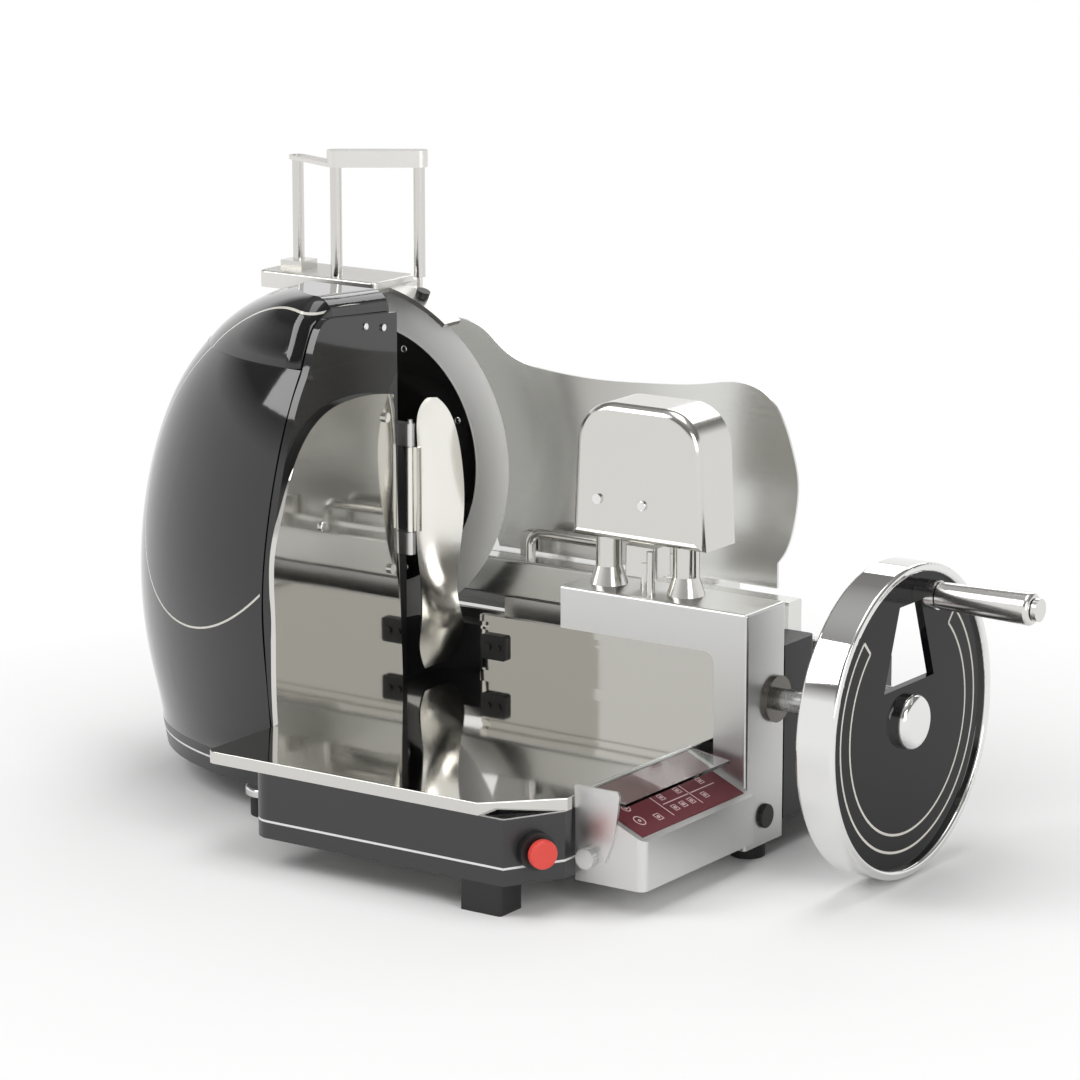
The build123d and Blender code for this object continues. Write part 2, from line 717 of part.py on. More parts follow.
# Black knob on the guard
with BuildPart() as guard_knob:
    with Locations(Location((blade_side_x, blade_plane, blade_z), (0, 90 - knob_angle, 0))):
        with Locations((0, 0, guard_inner)):
            Cylinder(knob_stem, guard_outer - guard_inner + 6, align=standing)
        with Locations((0, 0, guard_outer + 1)):
            Cylinder(knob_radius, knob_height, align=standing)
guard_knob.part.label = "guard_knob"
export_step(guard_knob.part, "parts/guard_knob.step")

# Pale cap on the guard's hood that carries the sharpener
with BuildPart() as top_cap:
    with Locations((at_x(cap_left), blade_plane - guard_width / 2, blade_z + guard_outer - cap_skirt)):
        Box(cap_length, guard_width, cap_thick + cap_skirt, align=low)
    fillet(top_cap.edges().filter_by(Axis.Z), 8)
    fillet(top_cap.faces().sort_by(Axis.Z)[-1].edges(), 2)
    with Locations(Plane.XZ.offset(-(blade_plane + guard_width))):
        with Locations((blade_side_x, blade_z)):
            Cylinder(guard_outer, 2 * guard_width, align=standing, mode=Mode.SUBTRACT)
    with Locations(*stem_places):
        Cylinder(stone_stem + run_gap, guard_width, mode=Mode.SUBTRACT)
top_cap.part.label = "top_cap"
export_step(top_cap.part, "parts/top_cap.step")

# Sharpener: three round posts on the cap, the last two hollow for the stones' stems
with BuildPart() as stone_posts:
    with Locations(*[(at_x(x), at_y(y), cap_top) for x, y in stone_post_places]):
        Cylinder(stone_post_radius, stone_post_height, align=standing)
    fillet(stone_posts.faces().sort_by(Axis.Z)[-1].edges(), 1)
    with Locations((at_x(stone_post_places[0][0]), at_y(stone_post_places[0][1]), cap_top)):
        Box(27, 27, 9, align=standing)
    with Locations(*stem_places):
        Cylinder(stone_stem + run_gap, 4 * stone_post_height, mode=Mode.SUBTRACT)
stone_posts.part.label = "stone_posts"
export_step(stone_posts.part, "parts/stone_posts.step")

# Bracket on the posts' tops, pressed down with its two stems, and a thin tie to the third post
bracket_bottom = cap_top + stone_post_height - bracket_grip
with BuildPart() as stone_bracket:
    for pair, height in ((stone_post_places[1:], bracket_height), (stone_post_places[:2], bracket_roof)):
        with BuildSketch(Plane.XY.offset(bracket_bottom)):
            with Locations(*[(at_x(x), at_y(y)) for x, y in pair]):
                Circle(stone_post_radius + 3)
            make_hull()
        extrude(amount=height)
    with Locations(*[(at_x(x), at_y(y), bracket_bottom) for x, y in stone_post_places]):
        Cylinder(stone_post_radius + run_gap, bracket_height - bracket_roof, align=standing, mode=Mode.SUBTRACT)
    with Locations(*[(x, y, stone_top) for x, y, z in stem_places]):
        Cylinder(stone_stem, bracket_bottom + bracket_height - stone_top, align=standing)
stone_bracket.part.label = "stone_bracket"
export_step(stone_bracket.part, "parts/stone_bracket.step")

# Grinding stone in front of the blade and honing stone behind it, under the hood
with BuildPart() as stones:
    with Locations(*[(x, y, stone_top) for x, y, z in stem_places]):
        Cylinder(stone_radius, stone_thick, align=(Align.CENTER, Align.CENTER, Align.MAX))
stones.part.label = "stones"
export_step(stones.part, "parts/stones.step")

# Polished fence behind the tray, with a ledge at its foot
with BuildPart() as fence_panel:
    with Locations((at_x(front_base_left), rear_front - fence_thick, tray_top)):
        Box(pillar_left - 4 - at_x(front_base_left), fence_thick, fence_height, align=low)
    for lift, reach, height in fence_ledges:
        with Locations((at_x(front_base_left), rear_front - fence_thick - reach, tray_top + lift)):
            Box(pillar_left - 4 - at_x(front_base_left), reach, height, align=low)
fence_panel.part.label = "fence_panel"
export_step(fence_panel.part, "parts/fence_panel.step")

# Black bracket at the fence's left end
with BuildPart() as fence_bracket:
    with Locations((at_x(front_base_left) + 2, rear_front - fence_thick - 5, tray_top + 18)):
        Box(30, 5, 26, align=low)
    fillet(fence_bracket.edges().filter_by(Axis.Y), 3)
    with Locations(Plane.XZ.offset(-(rear_front - fence_thick - 5))):
        with Locations((at_x(front_base_left) + 11, tray_top + 31), (at_x(front_base_left) + 23, tray_top + 31)):
            Cylinder(3.5, 2, align=standing)
fence_bracket.part.label = "fence_bracket"
export_step(fence_bracket.part, "parts/fence_bracket.step")

# Cast bridge: a beam over the tray and a hollow pillar on the right that holds the crank's gears
with BuildPart() as bridge_frame:
    with BuildSketch(Plane.XZ.offset(-at_y(bridge_front))) as bridge_plan:
        with BuildLine():
            Polyline(
                (at_x(bridge_left), bridge_top), (at_x(bridge_right), bridge_top), (at_x(bridge_right), pillar_foot),
                (pillar_left, pillar_foot), (pillar_left, bridge_top - bridge_beam),
                (at_x(bridge_left), bridge_top - bridge_beam), close=True,
            )
        make_face()
        fillet(bridge_plan.vertices().sort_by_distance((pillar_left, bridge_top - bridge_beam))[0], bridge_fillet)
    extrude(amount=-bridge_depth)
    fillet(bridge_frame.edges().filter_by(Axis.X).group_by(Axis.Z)[-1], 3)
    fillet(bridge_frame.edges().filter_by(Axis.Z).group_by(Axis.X)[-1], 3)
    with Locations((pillar_left + bridge_wall, at_y(bridge_front) + bridge_wall, pillar_foot + bridge_wall)):
        Box(
            pillar_width - 2 * bridge_wall, bridge_depth, bridge_top - bridge_beam - pillar_foot - bridge_wall,
            align=low, mode=Mode.SUBTRACT,
        )
    with Locations(Plane.YZ.offset(pillar_left + pillar_width / 2)):
        with Locations((wheel_axis_y, wheel_z)):
            Cylinder(shaft_radius + 5, 2 * pillar_width, mode=Mode.SUBTRACT)
    with Locations(Plane.YZ.offset(pillar_left)):
        with Locations((wheel_axis_y, lay_z)):
            Cylinder(lay_radius + run_gap, 3 * bridge_wall, mode=Mode.SUBTRACT)
bridge_frame.part.label = "bridge_frame"
export_step(bridge_frame.part, "parts/bridge_frame.step")

# Round black plug low on the pillar's right face
with BuildPart() as bridge_plug:
    with Locations(Plane.YZ.offset(at_x(bridge_right))):
        with Locations((at_y(plug_y), plug_z)):
            Cylinder(plug_radius, 4, align=standing)
    fillet(bridge_plug.faces().sort_by(Axis.X)[-1].edges(), 1.5)
bridge_plug.part.label = "bridge_plug"
export_step(bridge_plug.part, "parts/bridge_plug.step")

# Bushings of the crank shaft in the pillar's two walls
with BuildPart() as main_bushes:
    with Locations(Plane.YZ.offset(pillar_left)):
        with Locations((wheel_axis_y, wheel_z)):
            Cylinder(shaft_radius + 5, bridge_wall, align=standing)
    with Locations(Plane.YZ.offset(at_x(bridge_right) - bridge_wall)):
        with Locations((wheel_axis_y, wheel_z)):
            Cylinder(shaft_radius + 5, bridge_wall + 4, align=standing)
    with Locations(Plane.YZ.offset(at_x(bridge_right))):
        with Locations((wheel_axis_y, wheel_z)):
            Cylinder(shaft_radius + 12, 4, align=standing)
    with Locations(Plane.YZ.offset(pillar_left)):
        with Locations((wheel_axis_y, wheel_z)):
            Cylinder(shaft_radius + run_gap, 4 * pillar_width, mode=Mode.SUBTRACT)
main_bushes.part.label = "main_bushes"
export_step(main_bushes.part, "parts/main_bushes.step")

# Black column behind the pillar that closes the gear space
with BuildPart() as gearbox_column:
    with Locations((pillar_left - 2, column_front, base_bottom)):
        Box(pillar_width + 2, column_depth, column_top - base_bottom, align=low)
    fillet(gearbox_column.edges().filter_by(Axis.Z).group_by(Axis.Y)[-1], 8)
    with Locations((pillar_left - 2 + base_wall, column_front, base_bottom + base_wall)):
        Box(
            pillar_width + 2 - 2 * base_wall, column_depth - base_wall, column_top - base_bottom - 2 * base_wall,
            align=low, mode=Mode.SUBTRACT,
        )
gearbox_column.part.label = "gearbox_column"
export_step(gearbox_column.part, "parts/gearbox_column.step")

# Press: two posts with flared feet on the beam
with BuildPart() as press_posts:
    with Locations(*[(at_x(post_first + n * post_pitch), at_y(post_y), bridge_top) for n in (0, 1)]):
        Cylinder(post_radius, post_height, align=standing)
        Cone(post_flare, post_radius, 18, align=standing)
    fillet(press_posts.faces().sort_by(Axis.Z)[-1].edges(), 2)
press_posts.part.label = "press_posts"
export_step(press_posts.part, "parts/press_posts.step")

# Clamp block between the posts with its thin rod
with BuildPart() as press_clamp:
    with Locations((at_x(clamp_x), at_y(post_y), bridge_top)):
        Cylinder(7, 14, align=standing)
    with Locations((at_x(clamp_x), at_y(post_y), bridge_top + 14)):
        Box(36, 30, 30, align=standing)
    fillet(press_clamp.edges().filter_by(Axis.Z), 4)
    with Locations((at_x(clamp_rod_x), at_y(clamp_rod_y), bridge_top)):
        Cylinder(4, 44, align=standing)
    with Locations((at_x(clamp_x + 10), at_y(clamp_rod_y) - 3, bridge_top + 24)):
        Box(clamp_rod_x - clamp_x - 10, 6, 8, align=low)
press_clamp.part.label = "press_clamp"
export_step(press_clamp.part, "parts/press_clamp.step")

# Steel casing that slides on the posts: a tapered shell with round shoulders and two guides in its floor
casing_right = casing_left + casing_width
casing_top = casing_bottom + casing_height
with BuildPart() as press_casing:
    with BuildSketch(Plane.XZ.offset(-at_y(casing_front))) as casing_plan:
        with BuildLine():
            Polyline(
                (at_x(casing_left), casing_bottom), (at_x(casing_right), casing_bottom),
                (at_x(casing_right - casing_taper), casing_top), (at_x(casing_left + casing_taper), casing_top),
                close=True,
            )
        make_face()
        fillet(casing_plan.vertices().group_by(Axis.Y)[-1], casing_round)
    extrude(amount=-casing_depth)
    fillet(press_casing.edges().group_by(Axis.Y)[0], casing_edge)
    with BuildSketch(Plane.XZ.offset(-(at_y(casing_front) + casing_edge / 2))):
        add(casing_plan.sketch_local)
        offset(amount=-casing_edge / 2, mode=Mode.REPLACE)
    extrude(amount=-(casing_depth - casing_edge / 2 - casing_wall), mode=Mode.SUBTRACT)
    with Locations(*[(at_x(post_first + n * post_pitch), at_y(post_y), casing_bottom) for n in (0, 1)]):
        Cylinder(post_radius + 4, guide_height, align=standing)
        Cylinder(post_radius + run_gap, 3 * guide_height, mode=Mode.SUBTRACT)
press_casing.part.label = "press_casing"
export_step(press_casing.part, "parts/press_casing.step")

# Two screws on the casing's front
with BuildPart() as press_screws:
    with Locations(Plane.XZ.offset(-at_y(casing_front))):
        with Locations(*[(at_x(x), z) for x, z in press_screw_places]):
            Cylinder(screw_radius, 2.5, align=standing)
    fillet(press_screws.faces().sort_by(Axis.Y)[0].edges(), 1)
press_screws.part.label = "press_screws"
export_step(press_screws.part, "parts/press_screws.step")

# Steel control box on the right of the tray, its top sloping down to the right
with BuildPart() as control_box:
    with BuildSketch(Plane.XZ.offset(-at_y(box_front))) as box_plan:
        with BuildLine():
            Polyline(
                (tray_right, box_bottom), (tray_right + box_width, box_bottom), (tray_right + box_width, box_low),
                (tray_right, box_high), close=True,
            )
        make_face()
    extrude(amount=-box_depth)
    fillet(control_box.edges().filter_by(Axis.Z).group_by(Axis.X)[-1].sort_by(Axis.Y)[0], box_corner)
    with BuildSketch(Plane.XZ.offset(-(at_y(box_front) + box_wall))):
        add(box_plan.sketch_local)
        offset(amount=-box_wall, mode=Mode.REPLACE)
    extrude(amount=-(box_depth - 2 * box_wall), mode=Mode.SUBTRACT)
control_box.part.label = "control_box"
export_step(control_box.part, "parts/control_box.step")

# Keypad membrane on the slope
box_slope = (box_high - box_low) / box_width
with BuildPart() as keypad:
    with BuildSketch(Plane.XZ.offset(-(at_y(box_front) + 8))):
        with BuildLine():
            Polyline(
                *[(tray_right + u, box_high - u * box_slope + lift)
                  for u, lift in ((5, 0), (box_width - 6, 0), (box_width - 6, keypad_thick), (5, keypad_thick))],
                close=True,
            )
        make_face()
    extrude(amount=-(box_depth - 16))
keypad.part.label = "keypad"
export_step(keypad.part, "parts/keypad.step")

# Plate on the box's front with the lid's pivot and the thumbscrew's hole
with BuildPart() as lid_bracket:
    with BuildSketch(Plane.XZ.offset(-at_y(box_front))):
        with BuildLine():
            Polyline(
                *[(tray_right + reach, height) for reach, height in bracket_outline], close=True,
            )
        make_face()
        with Locations((tray_right + thumb_x, thumb_z)):
            Circle(thumb_stem + run_gap, mode=Mode.SUBTRACT)
    extrude(amount=bracket_thick)
    with Locations(Plane.XZ.offset(-at_y(box_front))):
        with Locations((tray_right + lid_pivot_x, lid_pivot_z, 0)):
            Cylinder(lid_pivot, 14, align=(Align.CENTER, Align.CENTER, Align.MAX))
lid_bracket.part.label = "lid_bracket"
export_step(lid_bracket.part, "parts/lid_bracket.step")

# Knurled thumbscrew in the bracket
with BuildPart() as thumbscrew:
    with Locations(Plane.XZ.offset(-(at_y(box_front) - bracket_thick))):
        with Locations((tray_right + thumb_x, thumb_z, 0.2)):
            Cylinder(thumb_radius, 9, align=standing)
            Cylinder(thumb_stem, bracket_thick, align=(Align.CENTER, Align.CENTER, Align.MAX))
            with PolarLocations(thumb_radius, 20):
                Cylinder(0.7, 9, align=standing, mode=Mode.SUBTRACT)
thumbscrew.part.label = "thumbscrew"
export_step(thumbscrew.part, "parts/thumbscrew.step")

# Clear lid over the keypad, hinged along the tray's edge
with BuildPart() as clear_lid:
    with BuildSketch(Plane.XZ.offset(-(at_y(box_front) + 0.5))):
        with Locations((tray_right + lid_pivot_x, lid_pivot_z)):
            Circle(lid_pivot + 1.6)
        with BuildLine():
            Polyline(
                *[(tray_right + lid_pivot_x + u, lid_pivot_z - u * lid_slope + lift)
                  for u, lift in ((0, -lid_thick / 2), (lid_reach, -lid_thick / 2), (lid_reach, lid_thick / 2), (0, lid_thick / 2))],
                close=True,
            )
        make_face()
        with Locations((tray_right + lid_pivot_x, lid_pivot_z)):
            Circle(lid_pivot + run_gap, mode=Mode.SUBTRACT)
    extrude(amount=-lid_length)
clear_lid.part.label = "clear_lid"
export_step(clear_lid.part, "parts/clear_lid.step")

# Stop button on the front base's corner
with BuildPart() as estop_collar:
    with Locations(stop_place):
        Cylinder(stop_collar, 9, align=standing)
        Cylinder(stop_stem + run_gap, 60, mode=Mode.SUBTRACT)
estop_collar.part.label = "estop_collar"
export_step(estop_collar.part, "parts/estop_collar.step")

with BuildPart() as estop_button:
    with Locations(stop_place):
        with Locations((0, 0, -3)):
            Cylinder(stop_stem, 18, align=standing)
        with Locations((0, 0, 13)):
            Cylinder(stop_radius, 9, align=standing)
    fillet(estop_button.faces().sort_by(Axis.Y)[0].edges(), 2.5)
estop_button.part.label = "estop_button"
export_step(estop_button.part, "parts/estop_button.step")

# Feet: a block in front, a disc foot under the body and plain rubber feet
with BuildPart() as front_foot:
    with Locations((at_x(front_foot_x) - front_foot_width / 2, at_y(front_foot_set_back), 0)):
        Box(front_foot_width, 36, base_bottom, align=low)
    fillet(front_foot.edges().filter_by(Axis.Z), 3)
front_foot.part.label = "front_foot"
export_step(front_foot.part, "parts/front_foot.step")

with BuildPart() as disc_foot:
    with Locations((at_x(disc_foot_x), at_y(disc_foot_y), 0)):
        Cylinder(disc_foot_radius - 5, base_bottom - 8, align=standing)
disc_foot.part.label = "disc_foot"
export_step(disc_foot.part, "parts/disc_foot.step")

with BuildPart() as foot_disc:
    with Locations((at_x(disc_foot_x), at_y(disc_foot_y), base_bottom - 8)):
        Cylinder(disc_foot_radius, 8, align=standing)
    fillet(foot_disc.edges().group_by(Axis.Z)[-1], 3)
foot_disc.part.label = "foot_disc"
export_step(foot_disc.part, "parts/foot_disc.step")

with BuildPart() as rubber_feet:
    with Locations((pillar_left + pillar_width / 2, at_y(bridge_front) + 35, 0)):
        Cylinder(foot_radius, pillar_foot, align=standing)
    with Locations(
        (rear_left + foot_radius + 2, rear_back - foot_radius - 2, 0),
        (at_x(bridge_right) - foot_radius + 2, rear_back - foot_radius + 2, 0),
    ):
        Cylinder(foot_radius, base_bottom, align=standing)
rubber_feet.part.label = "rubber_feet"
export_step(rubber_feet.part, "parts/rubber_feet.step")

# Carriage: two square rails on the rear base
with BuildPart() as carriage_rails:
    with Locations(*[(rear_left + 8, at_y(rail_first + n * rail_pitch) - rail_width / 2, rear_top) for n in (0, 1)]):
        Box(at_x(bridge_right) - rear_left - 16, rail_width, rail_height, align=low)
    fillet(carriage_rails.edges().filter_by(Axis.X).group_by(Axis.Z)[-1], 1.5)
carriage_rails.part.label = "carriage_rails"
export_step(carriage_rails.part, "parts/carriage_rails.step")

# Saddle grooved over the rails
saddle_bottom = rear_top + rail_height - 5
saddle_top = saddle_bottom + saddle_thick + 5
with BuildPart() as carriage_saddle:
    with Locations((at_x(saddle_left), at_y(rail_first) - 12, saddle_bottom)):
        Box(saddle_width, rail_pitch + 24, saddle_thick + 5, align=low)
    with Locations(*[(at_x(saddle_left) - 1, at_y(rail_first + n * rail_pitch) - rail_width / 2 - run_gap, 0) for n in (0, 1)]):
        Box(saddle_width + 2, rail_width + 2 * run_gap, rear_top + rail_height + run_gap, align=low, mode=Mode.SUBTRACT)
carriage_saddle.part.label = "carriage_saddle"
export_step(carriage_saddle.part, "parts/carriage_saddle.step")

# Long bright arm along the carriage's front
with BuildPart() as carriage_arm:
    with Locations((at_x(arm_left), at_y(rail_first) - 12, saddle_top)):
        Box(arm_right - arm_left, arm_depth, arm_height, align=low)
    fillet(carriage_arm.edges().filter_by(Axis.X), 3)
carriage_arm.part.label = "carriage_arm"
export_step(carriage_arm.part, "parts/carriage_arm.step")

# Meat table behind the arm on a pedestal
table_top = saddle_top + arm_height
with BuildPart() as meat_table:
    with Locations((at_x(arm_left), at_y(rail_first) - 12 + arm_depth, table_top - table_thick)):
        Box(table_right - arm_left, table_back - rail_first + 12 - arm_depth, table_thick, align=low)
    fillet(meat_table.edges().filter_by(Axis.Z).group_by(Axis.Y)[-1], 12)
    with Locations((at_x(saddle_left) + 20, at_y(rail_first) + 25, saddle_top)):
        Box(saddle_width - 40, 50, arm_height - table_thick, align=low)
meat_table.part.label = "meat_table"
export_step(meat_table.part, "parts/meat_table.step")

# Bent rod that stands on the arm
with BuildPart() as meat_fork:
    with BuildLine():
        fork_y = at_y(rail_first) - 12 + arm_depth / 2
        FilletPolyline(
            (at_x(fork_left), fork_y, table_top), (at_x(fork_left), fork_y, table_top + fork_height),
            (at_x(fork_right), fork_y, table_top + fork_height), (at_x(fork_right), fork_y, table_top), radius=12,
        )
    with BuildSketch(Plane.XY.offset(table_top)):
        with Locations((at_x(fork_left), fork_y)):
            Circle(rod_radius)
    sweep()
meat_fork.part.label = "meat_fork"
export_step(meat_fork.part, "parts/meat_fork.step")

# Two feed rods over the table in their end blocks
rod_z = table_top + 16
with BuildPart() as feed_rods:
    for x in feed_rod_places:
        with Locations((at_x(x) - 7, at_y(feed_front), table_top), (at_x(x) - 7, at_y(table_back) - 8, table_top)):
            Box(14, 8, 24, align=low)
        with Locations(Plane.XZ.offset(-at_y(feed_front))):
            with Locations((at_x(x), rod_z)):
                Cylinder(rod_radius, table_back - feed_front, align=(Align.CENTER, Align.CENTER, Align.MAX))
feed_rods.part.label = "feed_rods"
export_step(feed_rods.part, "parts/feed_rods.step")

# Pusher plate on two bosses that run on the feed rods
with BuildPart() as pusher_plate:
    with BuildSketch(Plane.XZ.offset(-at_y(plate_y))):
        with BuildLine():
            plate_edge = Spline([(at_x(x), z) for x, z in plate_outline])
            Polyline(
                plate_edge @ 1, (at_x(plate_outline[-1][0]), table_top + 3), (at_x(plate_foot_left), table_top + 3),
                plate_edge @ 0,
            )
        make_face()
    extrude(amount=-plate_thick)
    with Locations(Plane.XZ.offset(-at_y(plate_y))):
        with Locations(*[(at_x(x), rod_z) for x in feed_rod_places]):
            Cylinder(rod_radius + 5, 18, align=(Align.CENTER, Align.CENTER, Align.MAX))
            Cylinder(rod_radius + run_gap, 60, mode=Mode.SUBTRACT)
pusher_plate.part.label = "pusher_plate"
export_step(pusher_plate.part, "parts/pusher_plate.step")

# Crank wheel: bright rim with a rounded face
wheel_plane = Plane.YZ.offset(at_x(wheel_x))
with BuildPart() as wheel_rim:
    with Locations(wheel_plane):
        with Locations((wheel_axis_y, wheel_z)):
            Cylinder(wheel_radius, wheel_depth, align=standing)
            Cylinder(wheel_radius - rim_thick, 3 * wheel_depth, mode=Mode.SUBTRACT)
    fillet(wheel_rim.edges(), 3.5)
wheel_rim.part.label = "wheel_rim"
export_step(wheel_rim.part, "parts/wheel_rim.step")

# Black disc of the wheel with a window above its hub
disc_x = at_x(wheel_x) + wheel_depth - disc_thick - disc_recess
with BuildPart() as wheel_disc:
    with BuildSketch(Plane.YZ.offset(disc_x)):
        with Locations((wheel_axis_y, wheel_z)):
            Circle(wheel_radius - rim_thick)
        with BuildLine():
            Polyline(
                (wheel_axis_y - window_low, wheel_z + window_start), (wheel_axis_y + window_low, wheel_z + window_start),
                (wheel_axis_y + window_high, wheel_z + window_end), (wheel_axis_y - window_high, wheel_z + window_end),
                close=True,
            )
        make_face(mode=Mode.SUBTRACT)
        with Locations((wheel_axis_y + crank_pin_reach * sin(radians(crank_pin_turn)), wheel_z + crank_pin_reach * cos(radians(crank_pin_turn)))):
            Circle(crank_pin_radius, mode=Mode.SUBTRACT)
    extrude(amount=disc_thick)
    with Locations(Plane.YZ.offset(at_x(wheel_x) - 6)):
        with Locations((wheel_axis_y, wheel_z)):
            Cylinder(hub_radius + 3, disc_x - at_x(wheel_x) + 6, align=standing)
            Cylinder(shaft_radius, 200, mode=Mode.SUBTRACT)
wheel_disc.part.label = "wheel_disc"
export_step(wheel_disc.part, "parts/wheel_disc.step")

# Polished cap on the hub
with BuildPart() as hub_cap:
    with Locations(Plane.YZ.offset(disc_x + disc_thick)):
        with Locations((wheel_axis_y, wheel_z)):
            Cylinder(hub_radius, 12, align=standing)
    fillet(hub_cap.faces().sort_by(Axis.X)[-1].edges(), 8)
hub_cap.part.label = "hub_cap"
export_step(hub_cap.part, "parts/hub_cap.step")

# Crank pin with its collar and end cap
pin_y = wheel_axis_y + crank_pin_reach * sin(radians(crank_pin_turn))
pin_z = wheel_z + crank_pin_reach * cos(radians(crank_pin_turn))
with BuildPart() as crank_pin:
    with Locations(Plane.YZ.offset(disc_x)):
        with Locations((pin_y, pin_z)):
            Cylinder(crank_pin_radius, disc_thick + 12 + grip_length + 2, align=standing)
    with Locations(Plane.YZ.offset(disc_x + disc_thick)):
        with Locations((pin_y, pin_z)):
            Cylinder(grip_radius - 2, 11, align=standing)
        with Locations((pin_y, pin_z, 13 + grip_length)):
            Cylinder(grip_radius - 5, 5, align=standing)
crank_pin.part.label = "crank_pin"
export_step(crank_pin.part, "parts/crank_pin.step")

# Turned grip that spins on the pin and widens outwards
with BuildPart() as crank_grip:
    with Locations(Plane.YZ.offset(disc_x + disc_thick + 12)):
        with Locations((pin_y, pin_z)):
            Cone(grip_radius - 3, grip_radius, grip_length, align=standing)
            Cylinder(crank_pin_radius + run_gap, 3 * grip_length, mode=Mode.SUBTRACT)
    fillet(crank_grip.edges().group_by(Axis.X)[-1].sort_by(SortBy.LENGTH)[-1], 5)
crank_grip.part.label = "crank_grip"
export_step(crank_grip.part, "parts/crank_grip.step")

# Crank shaft and its gear
gear_x = pillar_left + (pillar_width - gear_face) / 2
with BuildPart() as main_shaft:
    with Locations(Plane.YZ.offset(pillar_left - 2)):
        with Locations((wheel_axis_y, wheel_z)):
            Cylinder(shaft_radius, disc_x + disc_thick - pillar_left + 2, align=standing)
    with Locations(Plane.YZ.offset(gear_x)):
        with Locations((wheel_axis_y, wheel_z)):
            Cylinder(gear_radius, gear_face, align=standing)
main_shaft.part.label = "main_shaft"
export_step(main_shaft.part, "parts/main_shaft.step")

# Idler gear that turns on a pin fixed in the pillar
with BuildPart() as idler_gear:
    with Locations(Plane.YZ.offset(gear_x)):
        with Locations((wheel_axis_y, idler_z)):
            Cylinder(gear_radius, gear_face, align=standing)
            Cylinder(idler_pin_radius + run_gap, 60, mode=Mode.SUBTRACT)
idler_gear.part.label = "idler_gear"
export_step(idler_gear.part, "parts/idler_gear.step")

# Layshaft under the tray with its spur gear and the bevel that drives the upright shaft
with BuildPart() as layshaft:
    with Locations(Plane.YZ.offset(blade_side_x + bevel_small + mesh_gap)):
        with Locations((wheel_axis_y, lay_z)):
            Cylinder(lay_radius, gear_x + gear_face + 4 - blade_side_x - bevel_small - mesh_gap, align=standing)
    with Locations(Location((blade_side_x + bevel_small + mesh_gap, wheel_axis_y, lay_z), (0, -90, 0))):
        Cone(bevel_large, bevel_large * bevel_cut, bevel_small * (1 - bevel_cut), align=standing)
    with Locations(Plane.YZ.offset(gear_x)):
        with Locations((wheel_axis_y, lay_z)):
            Cylinder(gear_radius, gear_face, align=standing)
layshaft.part.label = "layshaft"
export_step(layshaft.part, "parts/layshaft.step")

# Upright shaft that carries the drive up to the blade's spindle, with a small bevel below and a large one above
upright_low = lay_z + bevel_large + mesh_gap
upright_high = blade_z - bevel_small - mesh_gap
with BuildPart() as upright_shaft:
    with Locations((blade_side_x, wheel_axis_y, upright_low)):
        Cone(bevel_small * bevel_cut, bevel_small, bevel_large * (1 - bevel_cut), align=(Align.CENTER, Align.CENTER, Align.MAX))
        Cylinder(upright_radius, upright_high - upright_low, align=standing)
    with Locations((blade_side_x, wheel_axis_y, upright_high)):
        Cone(bevel_large, bevel_large * bevel_cut, bevel_small * (1 - bevel_cut), align=standing)
upright_shaft.part.label = "upright_shaft"
export_step(upright_shaft.part, "parts/upright_shaft.step")

# Bearing arms of the upright shaft, the layshaft's stand and the idler's pin
with BuildPart() as drive_frame:
    with Locations(*[(blade_side_x - 14, wheel_axis_y - 16, z) for z in arm_heights]):
        Box(28, at_y(drive_back) - plate_wall - wheel_axis_y + 16, 10, align=low)
    with Locations((blade_side_x, wheel_axis_y, 0)):
        Cylinder(upright_radius + run_gap, 3 * blade_z, mode=Mode.SUBTRACT)
    with Locations((at_x(stand_x), wheel_axis_y - 14, base_bottom + base_wall)):
        Box(10, 28, lay_z + 14 - base_bottom - base_wall, align=low)
    with Locations(Plane.YZ.offset(at_x(stand_x))):
        with Locations((wheel_axis_y, lay_z)):
            Cylinder(lay_radius + run_gap, 60, mode=Mode.SUBTRACT)
    with Locations(Plane.YZ.offset(pillar_left + bridge_wall)):
        with Locations((wheel_axis_y, idler_z)):
            Cylinder(idler_pin_radius, pillar_width - 2 * bridge_wall, align=standing)
drive_frame.part.label = "drive_frame"
export_step(drive_frame.part, "parts/drive_frame.step")
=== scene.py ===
from math import cos, pi, radians, sin

import bmesh
import bpy
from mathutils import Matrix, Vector


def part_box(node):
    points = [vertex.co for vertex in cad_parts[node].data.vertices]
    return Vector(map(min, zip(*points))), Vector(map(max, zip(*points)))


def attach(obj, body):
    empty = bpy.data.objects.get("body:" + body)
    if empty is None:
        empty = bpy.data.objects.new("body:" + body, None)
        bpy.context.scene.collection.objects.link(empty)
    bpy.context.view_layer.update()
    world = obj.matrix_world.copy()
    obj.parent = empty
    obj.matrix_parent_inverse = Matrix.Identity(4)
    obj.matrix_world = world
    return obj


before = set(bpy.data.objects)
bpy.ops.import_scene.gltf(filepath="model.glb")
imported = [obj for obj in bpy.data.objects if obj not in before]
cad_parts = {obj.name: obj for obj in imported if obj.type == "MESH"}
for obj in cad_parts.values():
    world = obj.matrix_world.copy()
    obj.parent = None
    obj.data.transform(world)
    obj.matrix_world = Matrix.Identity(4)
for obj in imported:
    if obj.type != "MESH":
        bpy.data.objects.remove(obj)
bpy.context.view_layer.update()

# ---- Studio --------------------------------------------------------------------------------------
# The machine stands on a pale floor that fades to white with distance. One large soft lamp is high on
# the left, a weaker one fills from the right, and two more light the back and the top.


def node_material(name):
    """An empty node material with its Principled shader."""
    material = bpy.data.materials.new(name)
    material.use_nodes = True
    tree = material.node_tree
    return material, tree.nodes, tree.links, tree.nodes["Principled BSDF"]


